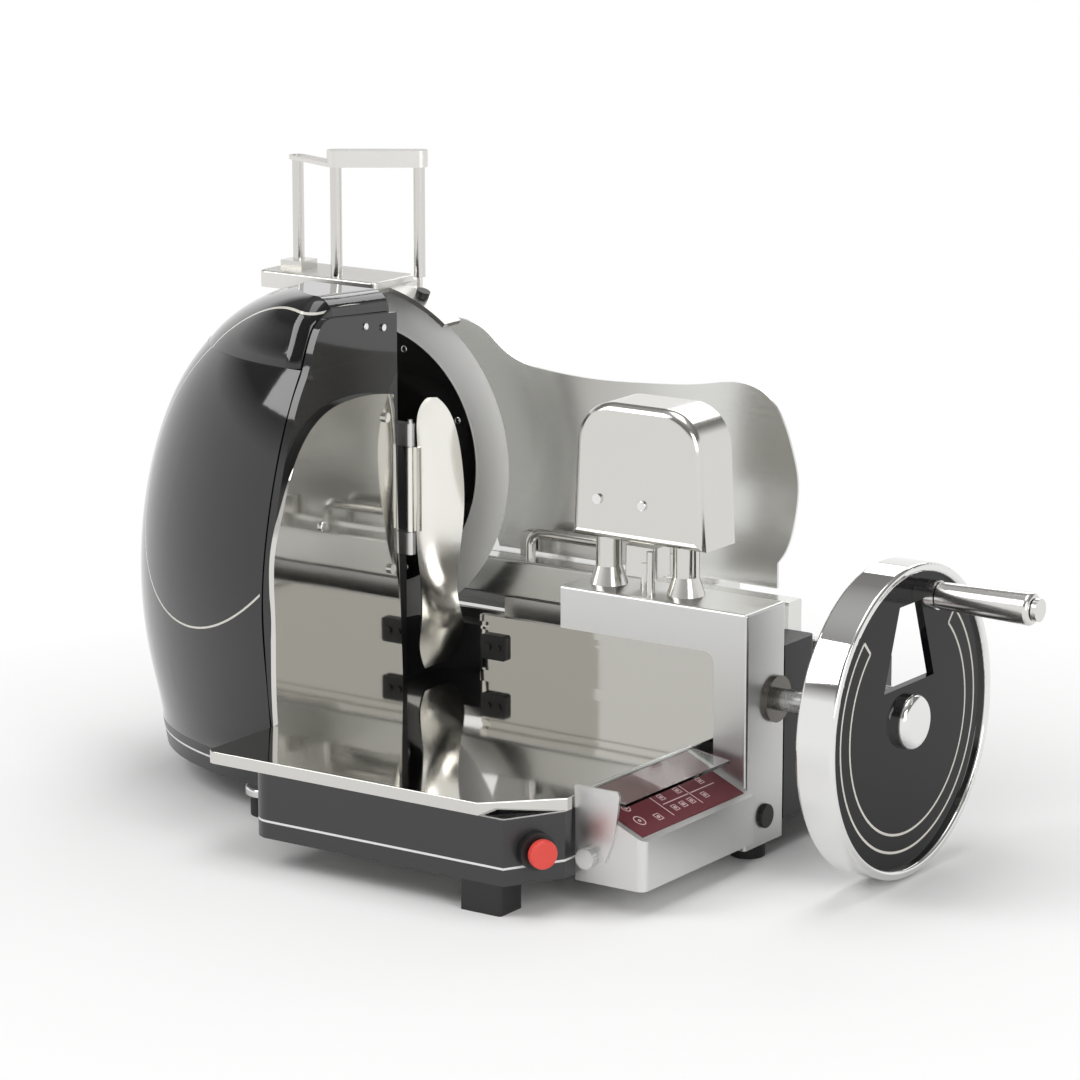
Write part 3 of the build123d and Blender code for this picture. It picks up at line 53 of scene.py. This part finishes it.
def paint_all(material, names):
    """Gives one material to CAD nodes of the same finish."""
    for name in names:
        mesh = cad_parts[name].data
        mesh.materials.clear()
        mesh.materials.append(material)


floor_half = 12
floor_grey = 0.93
fade_start = 0.45
fade_end = 0.95
floor_mesh = bmesh.new()
bmesh.ops.create_grid(floor_mesh, x_segments=1, y_segments=1, size=floor_half)
floor_data = bpy.data.meshes.new("floor")
floor_mesh.to_mesh(floor_data)
floor_mesh.free()
floor = bpy.data.objects.new("floor", floor_data)
bpy.context.collection.objects.link(floor)
floor_material, nodes, links, shader = node_material("floor_white")
shader.inputs["Base Color"].default_value = (floor_grey, floor_grey, floor_grey, 1)
shader.inputs["Roughness"].default_value = 0.9
shader.inputs["Specular IOR Level"].default_value = 0.1
floor_place = nodes.new("ShaderNodeTexCoord")
floor_reach = nodes.new("ShaderNodeVectorMath")
floor_reach.operation = "LENGTH"
far_away = nodes.new("ShaderNodeMapRange")
far_away.inputs["From Min"].default_value = fade_start
far_away.inputs["From Max"].default_value = fade_end
seen_by = nodes.new("ShaderNodeLightPath")
seen_directly = nodes.new("ShaderNodeMath")
seen_directly.operation = "MAXIMUM"
seen_at_all = nodes.new("ShaderNodeMath")
seen_at_all.operation = "MAXIMUM"
paper_white = nodes.new("ShaderNodeEmission")
paper_white.inputs["Color"].default_value = (1, 1, 1, 1)
paper_share = nodes.new("ShaderNodeMath")
paper_share.operation = "MULTIPLY"
paper_mix = nodes.new("ShaderNodeMixShader")
links.new(floor_place.outputs["Object"], floor_reach.inputs[0])
links.new(floor_reach.outputs["Value"], far_away.inputs["Value"])
links.new(seen_by.outputs["Is Camera Ray"], seen_directly.inputs[0])
links.new(seen_by.outputs["Is Glossy Ray"], seen_directly.inputs[1])
links.new(seen_directly.outputs[0], seen_at_all.inputs[0])
links.new(seen_by.outputs["Is Transmission Ray"], seen_at_all.inputs[1])
links.new(far_away.outputs["Result"], paper_share.inputs[0])
links.new(seen_at_all.outputs[0], paper_share.inputs[1])
links.new(paper_share.outputs[0], paper_mix.inputs["Fac"])
links.new(shader.outputs[0], paper_mix.inputs[1])
links.new(paper_white.outputs[0], paper_mix.inputs[2])
links.new(paper_mix.outputs[0], nodes["Material Output"].inputs["Surface"])
floor_data.materials.append(floor_material)

world = bpy.data.worlds.new("studio")
bpy.context.scene.world = world
world.use_nodes = True
nodes, links = world.node_tree.nodes, world.node_tree.links
room = nodes["Background"]
direction = nodes.new("ShaderNodeTexCoord")
split = nodes.new("ShaderNodeSeparateXYZ")
links.new(direction.outputs["Generated"], split.inputs[0])
height_ramp = nodes.new("ShaderNodeValToRGB")
height_ramp.color_ramp.elements[0].position = 0.3
height_ramp.color_ramp.elements[0].color = (1, 1, 1, 1)
height_ramp.color_ramp.elements[1].position = 0.95
height_ramp.color_ramp.elements[1].color = (0.6, 0.6, 0.6, 1)
upper_wall = height_ramp.color_ramp.elements.new(0.45)
upper_wall.color = (0.2, 0.195, 0.19, 1)
ceiling_edge = height_ramp.color_ramp.elements.new(0.75)
ceiling_edge.color = (0.26, 0.255, 0.25, 1)
links.new(split.outputs["Z"], height_ramp.inputs["Fac"])
links.new(height_ramp.outputs["Color"], room.inputs["Color"])
room.inputs["Strength"].default_value = 1.0

for lamp_name, place, aim, width, height, power in (
    ("key_softbox", (-1.6, -1.7, 2.3), (0, 0, 0.25), 1.6, 1.6, 34),
    ("right_softbox", (2.4, -1.2, 1.3), (0, 0, 0.2), 1.2, 1.8, 22),
    ("back_softbox", (-0.4, 2.6, 1.9), (0, 0, 0.2), 2.2, 1.0, 16),
    ("top_softbox", (0.2, 0.1, 2.6), (0, 0, 0), 1.8, 1.2, 16),
):
    lamp_data = bpy.data.lights.new(lamp_name, "AREA")
    lamp_data.shape = "RECTANGLE"
    lamp_data.size = width
    lamp_data.size_y = height
    lamp_data.energy = power
    lamp = bpy.data.objects.new(lamp_name, lamp_data)
    lamp.location = place
    lamp.rotation_euler = (Vector(aim) - Vector(place)).to_track_quat("-Z", "Y").to_euler()
    bpy.context.collection.objects.link(lamp)

camera_data = bpy.data.cameras.new("camera")
camera_data.sensor_width = 36
camera_data.lens = 146.667
camera_data.clip_end = 50
camera = bpy.data.objects.new("camera", camera_data)
camera.location = (2.3635, -3.459, 1.249)
camera.rotation_euler = (radians(77.1), 0, radians(34.4))
bpy.context.collection.objects.link(camera)
bpy.context.scene.camera = camera
bpy.context.scene.view_settings.view_transform = "Standard"

# ---- Front, left and rear base -------------------------------------------------------------------
# Satin charcoal enamel over sheet steel, with one white line painted round the foot. The surface has
# a faint orange peel from spraying.


def speckle(nodes, links, scale, low, high, detail=4):
    """Roughness that wanders between two values over the surface."""
    place = nodes.new("ShaderNodeTexCoord")
    noise = nodes.new("ShaderNodeTexNoise")
    noise.inputs["Scale"].default_value = scale
    noise.inputs["Detail"].default_value = detail
    spread = nodes.new("ShaderNodeMapRange")
    spread.inputs["To Min"].default_value = low
    spread.inputs["To Max"].default_value = high
    links.new(place.outputs["Object"], noise.inputs["Vector"])
    links.new(noise.outputs["Fac"], spread.inputs["Value"])
    return place, noise, spread


def bump(nodes, links, height, shader, strength, distance):
    """A shallow relief from a height."""
    relief = nodes.new("ShaderNodeBump")
    relief.inputs["Strength"].default_value = strength
    relief.inputs["Distance"].default_value = distance
    links.new(height, relief.inputs["Height"])
    links.new(relief.outputs["Normal"], shader.inputs["Normal"])


def arithmetic(nodes, links, operation, *values):
    """One Math node fed by sockets and numbers."""
    step = nodes.new("ShaderNodeMath")
    step.operation = operation
    for socket, value in zip(step.inputs, values):
        if isinstance(value, (int, float)):
            socket.default_value = value
        else:
            links.new(value, socket)
    return step.outputs[0]


def line_colour(nodes, links, mask, shader, ground, ink):
    """Paints a line over the ground colour where the mask is 1."""
    mix = nodes.new("ShaderNodeMix")
    mix.data_type = "RGBA"
    mix.inputs["A"].default_value = (*ground, 1)
    mix.inputs["B"].default_value = (*ink, 1)
    links.new(mask, mix.inputs["Factor"])
    links.new(mix.outputs["Result"], shader.inputs["Base Color"])


charcoal = (0.022, 0.022, 0.024)
line_white = (0.75, 0.75, 0.74)
line_height = 0.047
line_half = 0.0011
line_back_end = 0.08
base_enamel, nodes, links, shader = node_material("charcoal_enamel")
place, noise, spread = speckle(nodes, links, 260, 0.3, 0.4)
links.new(spread.outputs[0], shader.inputs["Roughness"])
bump(nodes, links, noise.outputs["Fac"], shader, 0.06, 0.0006)
shader.inputs["Coat Weight"].default_value = 0.3
shader.inputs["Coat Roughness"].default_value = 0.2
split = nodes.new("ShaderNodeSeparateXYZ")
links.new(place.outputs["Object"], split.inputs[0])
above_line = arithmetic(nodes, links, "SUBTRACT", split.outputs["Z"], line_height)
off_line = arithmetic(nodes, links, "ABSOLUTE", above_line)
on_line = arithmetic(nodes, links, "LESS_THAN", off_line, line_half)
front_of_rear = arithmetic(nodes, links, "LESS_THAN", split.outputs["Y"], line_back_end)
foot_line = arithmetic(nodes, links, "MULTIPLY", on_line, front_of_rear)
line_colour(nodes, links, foot_line, shader, charcoal, line_white)
paint_all(base_enamel, ["base_housing", "body_base", "rear_base", "drive_frame"])

# ---- Egg-shaped cover, crown and side frame ------------------------------------------------------
# Deep gloss black enamel on a cast shell, with a thin cream oval painted on its front left and a fine
# seam where the crown meets the cover.

egg_black = (0.004, 0.004, 0.005)
egg_cream = (0.62, 0.6, 0.55)
oval_centre = (-0.335, -0.15, 0.345)
oval_across = (0.72, -0.69)
oval_half_width = 0.128
oval_half_height = 0.158
oval_line = 0.0065
oval_right_end = -0.222
seam_height = 0.45
seam_half = 0.0012
gloss_enamel, nodes, links, shader = node_material("gloss_black_enamel")
place, noise, spread = speckle(nodes, links, 90, 0.05, 0.09)
links.new(spread.outputs[0], shader.inputs["Roughness"])
bump(nodes, links, noise.outputs["Fac"], shader, 0.03, 0.0004)
shader.inputs["Coat Weight"].default_value = 0.5
shader.inputs["Coat Roughness"].default_value = 0.03
split = nodes.new("ShaderNodeSeparateXYZ")
links.new(place.outputs["Object"], split.inputs[0])
above_seam = arithmetic(nodes, links, "SUBTRACT", split.outputs["Z"], seam_height)
off_seam = arithmetic(nodes, links, "ABSOLUTE", above_seam)
in_seam = arithmetic(nodes, links, "LESS_THAN", off_seam, seam_half)
seam_relief = nodes.new("ShaderNodeBump")
seam_relief.invert = True
seam_relief.inputs["Strength"].default_value = 1.0
seam_relief.inputs["Distance"].default_value = 0.002
links.new(in_seam, seam_relief.inputs["Height"])
links.new(seam_relief.outputs["Normal"], shader.inputs["Coat Normal"])
from_centre = [
    arithmetic(nodes, links, "SUBTRACT", split.outputs[axis], centre)
    for axis, centre in zip("XYZ", oval_centre)
]
along_x = arithmetic(nodes, links, "MULTIPLY", from_centre[0], oval_across[0])
along_y = arithmetic(nodes, links, "MULTIPLY", from_centre[1], oval_across[1])
along_both = arithmetic(nodes, links, "ADD", along_x, along_y)
across = arithmetic(nodes, links, "DIVIDE", along_both, oval_half_width)
up = arithmetic(nodes, links, "DIVIDE", from_centre[2], oval_half_height)
across_size = arithmetic(nodes, links, "ABSOLUTE", across)
up_size = arithmetic(nodes, links, "ABSOLUTE", up)
across_square = arithmetic(nodes, links, "POWER", across_size, 2.0)
up_square = arithmetic(nodes, links, "POWER", up_size, 2.0)
reach = arithmetic(nodes, links, "SQRT", arithmetic(nodes, links, "ADD", across_square, up_square))
off_oval = arithmetic(nodes, links, "ABSOLUTE", arithmetic(nodes, links, "SUBTRACT", reach, 1.0))
on_oval = arithmetic(nodes, links, "LESS_THAN", off_oval, oval_line)
left_side = arithmetic(nodes, links, "LESS_THAN", split.outputs["X"], oval_right_end)
oval_mask = arithmetic(nodes, links, "MULTIPLY", on_oval, left_side)
line_colour(nodes, links, oval_mask, shader, egg_black, egg_cream)
paint_all(gloss_enamel, ["egg_cover", "egg_top", "side_frame"])

# ---- Polished sheet: slice tray, arch plate, deflector and fence ---------------------------------
# Stainless sheet buffed to a mirror, slightly warm, with fine wiping marks and long soft waves.


def buffed(name, tint, low, high, wave):
    """Mirror-bright metal with faint marks and a slow wave in the sheet."""
    material, nodes, links, shader = node_material(name)
    place, noise, spread = speckle(nodes, links, 38, low, high, 8)
    links.new(spread.outputs[0], shader.inputs["Roughness"])
    shader.inputs["Base Color"].default_value = (*tint, 1)
    shader.inputs["Metallic"].default_value = 1.0
    swell = nodes.new("ShaderNodeTexNoise")
    swell.inputs["Scale"].default_value = 5
    swell.inputs["Detail"].default_value = 1
    links.new(place.outputs["Object"], swell.inputs["Vector"])
    bump(nodes, links, swell.outputs["Fac"], shader, wave, 0.004)
    return material


mirror_steel = buffed("mirror_steel", (0.66, 0.65, 0.62), 0.03, 0.075, 0.12)
paint_all(mirror_steel, ["slice_tray", "arch_plate", "fence_panel"])
scoop_steel = buffed("scoop_steel", (0.86, 0.84, 0.79), 0.14, 0.22, 0.5)
paint_all(scoop_steel, ["deflector"])

# ---- Bright chrome: wheel rim, hub cap, foot disc and screws -------------------------------------
# Plated steel, nearly a perfect mirror.

chrome = buffed("bright_chrome", (0.78, 0.78, 0.77), 0.02, 0.05, 0.0)
paint_all(chrome, ["wheel_rim", "hub_cap", "foot_disc", "arch_screws", "frame_screws", "press_screws"])

# ---- Brushed steel and cast aluminium ------------------------------------------------------------
# Ground with a belt, so fine straight scratches run along the piece and spread its highlights. The
# casing and its posts are polished further, and the cap, bracket and guard are paler.


def brushed(name, tint, stretch, low, high, relief):
    """Metal with fine scratches; stretch is how much the grain is squeezed across each axis."""
    material, nodes, links, shader = node_material(name)
    place = nodes.new("ShaderNodeTexCoord")
    grain_map = nodes.new("ShaderNodeMapping")
    grain_map.inputs["Scale"].default_value = stretch
    grain = nodes.new("ShaderNodeTexNoise")
    grain.inputs["Scale"].default_value = 1
    grain.inputs["Detail"].default_value = 6
    spread = nodes.new("ShaderNodeMapRange")
    spread.inputs["To Min"].default_value = low
    spread.inputs["To Max"].default_value = high
    links.new(place.outputs["Object"], grain_map.inputs["Vector"])
    links.new(grain_map.outputs["Vector"], grain.inputs["Vector"])
    links.new(grain.outputs["Fac"], spread.inputs["Value"])
    links.new(spread.outputs[0], shader.inputs["Roughness"])
    shader.inputs["Base Color"].default_value = (*tint, 1)
    shader.inputs["Metallic"].default_value = 1.0
    bump(nodes, links, grain.outputs["Fac"], shader, relief, 0.0003)
    return material


bridge_metal = brushed("bridge_aluminium", (0.66, 0.66, 0.65), (40, 40, 1500), 0.24, 0.4, 0.12)
paint_all(bridge_metal, ["bridge_frame", "carriage_saddle"])
pale_metal = brushed("pale_aluminium", (0.74, 0.73, 0.7), (60, 60, 900), 0.3, 0.42, 0.08)
paint_all(pale_metal, ["top_cap", "stone_bracket", "guard_ring"])
casing_metal = brushed("casing_steel", (0.66, 0.65, 0.62), (1500, 30, 40), 0.1, 0.22, 0.06)
paint_all(
    casing_metal, ["press_casing", "press_posts", "press_clamp", "stone_posts", "meat_fork", "feed_rods"]
)
box_metal = brushed("box_steel", (0.7, 0.7, 0.69), (900, 40, 900), 0.24, 0.38, 0.12)
paint_all(box_metal, ["control_box", "lid_bracket", "hinge_lugs", "thumbscrew"])
arm_metal = brushed("arm_steel", (0.72, 0.72, 0.7), (25, 900, 900), 0.18, 0.3, 0.08)
paint_all(arm_metal, ["carriage_arm", "meat_table", "carriage_rails", "pusher_plate"])
grip_metal = brushed("grip_steel", (0.72, 0.71, 0.69), (1400, 60, 60), 0.14, 0.26, 0.08)
paint_all(grip_metal, ["crank_grip", "crank_pin"])

# ---- Round knife ---------------------------------------------------------------------------------
# Hardened steel: a polished bevel at the edge and a finely turned face inside it. The bevel band and its
# rougher finish are real; its near-white, less metallic colour is a painted highlight.

blade_metal = brushed("blade_steel", (0.6, 0.6, 0.58), (60, 900, 60), 0.1, 0.2, 0.05)
paint_all(blade_metal, ["blade_spindle"])
blade_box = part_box("blade")
blade_centre = Vector(blade_box[0]).lerp(Vector(blade_box[1]), 0.5)
bevel_start = 0.137
face_grey = (0.5, 0.5, 0.48)
# Near-white bevel colour: a painted highlight for the light the bevel catches.
bevel_painted_highlight = (0.92, 0.92, 0.9)
knife_steel, nodes, links, shader = node_material("knife_steel")
place = nodes.new("ShaderNodeTexCoord")
split = nodes.new("ShaderNodeSeparateXYZ")
links.new(place.outputs["Object"], split.inputs[0])
from_axis_x = arithmetic(nodes, links, "SUBTRACT", split.outputs["X"], blade_centre.x)
from_axis_z = arithmetic(nodes, links, "SUBTRACT", split.outputs["Z"], blade_centre.z)
square_x = arithmetic(nodes, links, "MULTIPLY", from_axis_x, from_axis_x)
square_z = arithmetic(nodes, links, "MULTIPLY", from_axis_z, from_axis_z)
blade_reach = arithmetic(nodes, links, "SQRT", arithmetic(nodes, links, "ADD", square_x, square_z))
on_bevel = arithmetic(nodes, links, "GREATER_THAN", blade_reach, bevel_start)
turning_marks = nodes.new("ShaderNodeTexNoise")
turning_marks.noise_dimensions = "1D"
turning_marks.inputs["Scale"].default_value = 2200
turning_marks.inputs["Detail"].default_value = 3
links.new(blade_reach, turning_marks.inputs["W"])
face_roughness = nodes.new("ShaderNodeMapRange")
face_roughness.inputs["To Min"].default_value = 0.12
face_roughness.inputs["To Max"].default_value = 0.24
links.new(turning_marks.outputs["Fac"], face_roughness.inputs["Value"])
bevel_roughness = arithmetic(nodes, links, "MULTIPLY", on_bevel, 0.3)
blade_roughness = arithmetic(nodes, links, "ADD", face_roughness.outputs[0], bevel_roughness)
links.new(blade_roughness, shader.inputs["Roughness"])
line_colour(nodes, links, on_bevel, shader, face_grey, bevel_painted_highlight)
# The bevel is made less metallic so its near-white colour shows as a painted highlight.
bevel_highlight_less_metal = arithmetic(nodes, links, "MULTIPLY", on_bevel, 0.65)
links.new(arithmetic(nodes, links, "SUBTRACT", 1.0, bevel_highlight_less_metal), shader.inputs["Metallic"])
bump(nodes, links, turning_marks.outputs["Fac"], shader, 0.05, 0.0002)
paint_all(knife_steel, ["blade"])

# ---- Crank wheel's disc --------------------------------------------------------------------------
# Gloss black enamel with two cream lines that follow the rim and join on either side of the top.

wheel_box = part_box("wheel_disc")
wheel_centre = Vector(wheel_box[0]).lerp(Vector(wheel_box[1]), 0.5)
line_inner = 0.109
line_outer = 0.126
line_width = 0.0012
line_opening = 0.74
tip_half_turn = 0.012
wheel_enamel, nodes, links, shader = node_material("wheel_black_enamel")
place, noise, spread = speckle(nodes, links, 90, 0.05, 0.09)
links.new(spread.outputs[0], shader.inputs["Roughness"])
shader.inputs["Specular IOR Level"].default_value = 0.14
shader.inputs["Coat Weight"].default_value = 0.1
shader.inputs["Coat Roughness"].default_value = 0.03
split = nodes.new("ShaderNodeSeparateXYZ")
links.new(place.outputs["Object"], split.inputs[0])
wide = arithmetic(nodes, links, "SUBTRACT", split.outputs["Y"], wheel_centre.y)
tall = arithmetic(nodes, links, "SUBTRACT", split.outputs["Z"], wheel_centre.z)
wide_square = arithmetic(nodes, links, "MULTIPLY", wide, wide)
tall_square = arithmetic(nodes, links, "MULTIPLY", tall, tall)
radius = arithmetic(nodes, links, "SQRT", arithmetic(nodes, links, "ADD", wide_square, tall_square))
turn = arithmetic(nodes, links, "ARCTAN2", arithmetic(nodes, links, "ABSOLUTE", wide), tall)
below_tips = arithmetic(nodes, links, "GREATER_THAN", turn, line_opening)
off_inner = arithmetic(nodes, links, "ABSOLUTE", arithmetic(nodes, links, "SUBTRACT", radius, line_inner))
on_inner = arithmetic(nodes, links, "LESS_THAN", off_inner, line_width)
off_outer = arithmetic(nodes, links, "ABSOLUTE", arithmetic(nodes, links, "SUBTRACT", radius, line_outer))
on_outer = arithmetic(nodes, links, "LESS_THAN", off_outer, line_width)
on_either = arithmetic(nodes, links, "MAXIMUM", on_inner, on_outer)
rings = arithmetic(nodes, links, "MULTIPLY", on_either, below_tips)
past_inner = arithmetic(nodes, links, "GREATER_THAN", radius, line_inner)
inside_outer = arithmetic(nodes, links, "LESS_THAN", radius, line_outer)
between = arithmetic(nodes, links, "MULTIPLY", past_inner, inside_outer)
off_tip = arithmetic(nodes, links, "ABSOLUTE", arithmetic(nodes, links, "SUBTRACT", turn, line_opening))
on_tip = arithmetic(nodes, links, "LESS_THAN", off_tip, tip_half_turn)
tips = arithmetic(nodes, links, "MULTIPLY", between, on_tip)
wheel_lines = arithmetic(nodes, links, "MAXIMUM", rings, tips)
line_colour(nodes, links, wheel_lines, shader, egg_black, egg_cream)
paint_all(wheel_enamel, ["wheel_disc"])

# ---- Keypad film ---------------------------------------------------------------------------------
# Burgundy membrane under a matt lacquer.

keypad_film, nodes, links, shader = node_material("burgundy_film")
place, noise, spread = speckle(nodes, links, 500, 0.3, 0.42)
links.new(spread.outputs[0], shader.inputs["Roughness"])
bump(nodes, links, noise.outputs["Fac"], shader, 0.08, 0.0003)
shader.inputs["Base Color"].default_value = (0.13, 0.012, 0.022, 1)
paint_all(keypad_film, ["keypad"])

# ---- Clear lid -----------------------------------------------------------------------------------
# Acrylic sheet, polished at the edges, with faint smears.

acrylic, nodes, links, shader = node_material("clear_acrylic")
place, noise, spread = speckle(nodes, links, 30, 0.02, 0.08)
links.new(spread.outputs[0], shader.inputs["Roughness"])
shader.inputs["Base Color"].default_value = (0.95, 0.97, 0.97, 1)
shader.inputs["Transmission Weight"].default_value = 1.0
shader.inputs["IOR"].default_value = 1.49
paint_all(acrylic, ["clear_lid"])

# ---- Stop button and black plastic trim ----------------------------------------------------------
# Moulded red head in a black collar. The knob, plug, column, front foot and the plate that closes the
# cover's back are of the same dull black.


def moulded(name, tint, low, high, grain):
    """Moulded plastic or rubber with a fine texture from the tool."""
    material, nodes, links, shader = node_material(name)
    place, noise, spread = speckle(nodes, links, grain, low, high)
    links.new(spread.outputs[0], shader.inputs["Roughness"])
    bump(nodes, links, noise.outputs["Fac"], shader, 0.1, 0.0003)
    shader.inputs["Base Color"].default_value = (*tint, 1)
    return material


red_plastic = moulded("red_plastic", (0.72, 0.06, 0.045), 0.3, 0.42, 500)
paint_all(red_plastic, ["estop_button"])
black_plastic = moulded("black_plastic", (0.012, 0.012, 0.013), 0.35, 0.5, 700)
paint_all(
    black_plastic,
    [
        "estop_collar", "guard_knob", "fence_bracket", "bridge_plug", "gearbox_column", "front_foot",
        "back_plate",
    ],
)

# ---- Feet ----------------------------------------------------------------------------------------
# Black rubber, dull and slightly dusty.

rubber = moulded("foot_rubber", (0.014, 0.014, 0.014), 0.6, 0.8, 400)
paint_all(rubber, ["rubber_feet", "disc_foot"])

# ---- Sharpening stones ---------------------------------------------------------------------------
# Bonded grit, coarse and matt.

stone_grit = moulded("stone_grit", (0.3, 0.28, 0.25), 0.8, 0.95, 1500)
paint_all(stone_grit, ["stones"])

# ---- Drive inside the machine --------------------------------------------------------------------
# Turned steel shafts and gears in bronze bushings.

turned_steel = brushed("turned_steel", (0.5, 0.5, 0.49), (700, 60, 60), 0.2, 0.35, 0.1)
paint_all(turned_steel, ["main_shaft", "idler_gear", "layshaft", "upright_shaft"])
bronze = brushed("bronze", (0.42, 0.28, 0.14), (700, 60, 60), 0.22, 0.36, 0.1)
paint_all(bronze, ["spindle_bush"])
bush_metal = brushed("bush_steel", (0.16, 0.15, 0.135), (700, 60, 60), 0.16, 0.28, 0.1)
paint_all(bush_metal, ["main_bushes"])

# ---- Symbols on the keypad -----------------------------------------------------------------------
# Pale outlines printed thick on the film: two round keys, then rows of square keys, each with a dot,
# divided by thin rules.


def thin_piece(name, mesh, material, body):
    """Makes a piece of the bmesh, in the shared frame, that rides on a body."""
    bmesh.ops.recalc_face_normals(mesh, faces=mesh.faces)
    data = bpy.data.meshes.new(name)
    mesh.to_mesh(data)
    mesh.free()
    data.materials.append(material)
    piece = bpy.data.objects.new(name, data)
    bpy.context.collection.objects.link(piece)
    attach(piece, body)


def band(mesh, outer, inner, lift):
    """A flat closed band between two loops of points, raised by the vector lift."""
    low_outer = [mesh.verts.new(point) for point in outer]
    low_inner = [mesh.verts.new(point) for point in inner]
    high_outer = [mesh.verts.new(Vector(point) + lift) for point in outer]
    high_inner = [mesh.verts.new(Vector(point) + lift) for point in inner]
    count = len(outer)
    for here in range(count):
        there = (here + 1) % count
        mesh.faces.new((high_outer[here], high_outer[there], high_inner[there], high_inner[here]))
        mesh.faces.new((low_outer[there], low_outer[here], low_inner[here], low_inner[there]))
        mesh.faces.new((low_outer[here], low_outer[there], high_outer[there], high_outer[here]))
        mesh.faces.new((low_inner[there], low_inner[here], high_inner[here], high_inner[there]))


film_thick = 0.001
film_low, film_high = [Vector(corner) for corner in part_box("keypad")]
film_drop = (film_high.z - film_low.z - film_thick) / (film_high.x - film_low.x)
film_up = Vector((film_drop, 0, 1)).normalized()
ink_gap = film_up * 0.00005
ink_thick = film_up * 0.0002
ink_width = 0.0009
dot_outer = 0.0018
dot_inner = 0.0007
dot_sides = 10


def on_film(across, along):
    """Place on the film, measured down the slope from its high edge and back from its front end."""
    return Vector((film_low.x + across, film_low.y + along, film_high.z - film_drop * across)) + ink_gap


def film_loop(across, along, half, sides, turn):
    """A regular loop of points on the film."""
    return [
        on_film(across + half * cos(angle + turn), along + half * sin(angle + turn))
        for angle in [2 * pi * step / sides for step in range(sides)]
    ]


symbols = bmesh.new()
for across, along, half, sides in (
    (0.048, 0.020, 0.0062, 24), (0.030, 0.024, 0.0048, 24), (0.052, 0.046, 0.0058, 4),
    (0.050, 0.078, 0.0052, 4), (0.050, 0.092, 0.0052, 4), (0.050, 0.106, 0.0052, 4),
    (0.034, 0.078, 0.0052, 4), (0.034, 0.106, 0.0052, 4), (0.050, 0.130, 0.0052, 4),
    (0.034, 0.146, 0.0052, 4),
):
    outline_turn = 0 if sides > 4 else pi / 4
    band(
        symbols, film_loop(across, along, half, sides, outline_turn),
        film_loop(across, along, half - ink_width, sides, outline_turn), ink_thick,
    )
    band(
        symbols, film_loop(across, along, dot_outer, dot_sides, 0),
        film_loop(across, along, dot_inner, dot_sides, 0), ink_thick,
    )
for across, along, reach_across, reach_along in (
    (0.0420, 0.070, 0.0, 0.042), (0.0420, 0.118, 0.0, 0.040),
    (0.0270, 0.115, 0.030, 0.0), (0.0270, 0.065, 0.030, 0.0),
):
    half_ink = ink_width / 2
    corners = [
        on_film(across - half_ink, along - half_ink),
        on_film(across + reach_across + half_ink, along - half_ink),
        on_film(across + reach_across + half_ink, along + reach_along + half_ink),
        on_film(across - half_ink, along + reach_along + half_ink),
    ]
    middle = sum(corners, Vector()) / 4
    band(symbols, corners, [corner.lerp(middle, 0.9) for corner in corners], ink_thick)
ink = moulded("symbol_ink", (0.78, 0.6, 0.6), 0.4, 0.5, 800)
thin_piece("keypad_symbols", symbols, ink, "machine")

# ---- Small screws and rivets ---------------------------------------------------------------------
# Domed heads that show in a ring on the front of the knife and on the pusher plate.


def dome(mesh, centre, axis, radius, height):
    """A domed head that stands on a surface."""
    head = bmesh.ops.create_uvsphere(mesh, u_segments=20, v_segments=12, radius=radius)["verts"]
    turn = Vector((0, 0, 1)).rotation_difference(Vector(axis)).to_matrix()
    for vertex in head:
        vertex.co = turn @ Vector((vertex.co.x, vertex.co.y, vertex.co.z * height / radius)) + Vector(centre)


blade_screw_count = 8
blade_screw_ring = 0.124
blade_heads = bmesh.new()
for step in range(blade_screw_count):
    angle = 2 * pi * (step + 0.5) / blade_screw_count
    head_x = blade_centre.x + blade_screw_ring * cos(angle)
    head_z = blade_centre.z + blade_screw_ring * sin(angle)
    dome(blade_heads, (head_x, blade_box[0][1], head_z), (0, -1, 0), 0.0035, 0.0012)
thin_piece("blade_screws", blade_heads, chrome, "knife")

plate_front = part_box("pusher_plate")[0][1]
plate_heads = bmesh.new()
for across, height in ((0.005, 0.375), (0.075, 0.30)):
    dome(plate_heads, (across, plate_front, height), (0, -1, 0), 0.004, 0.0015)
thin_piece("plate_rivets", plate_heads, chrome, "pusher")
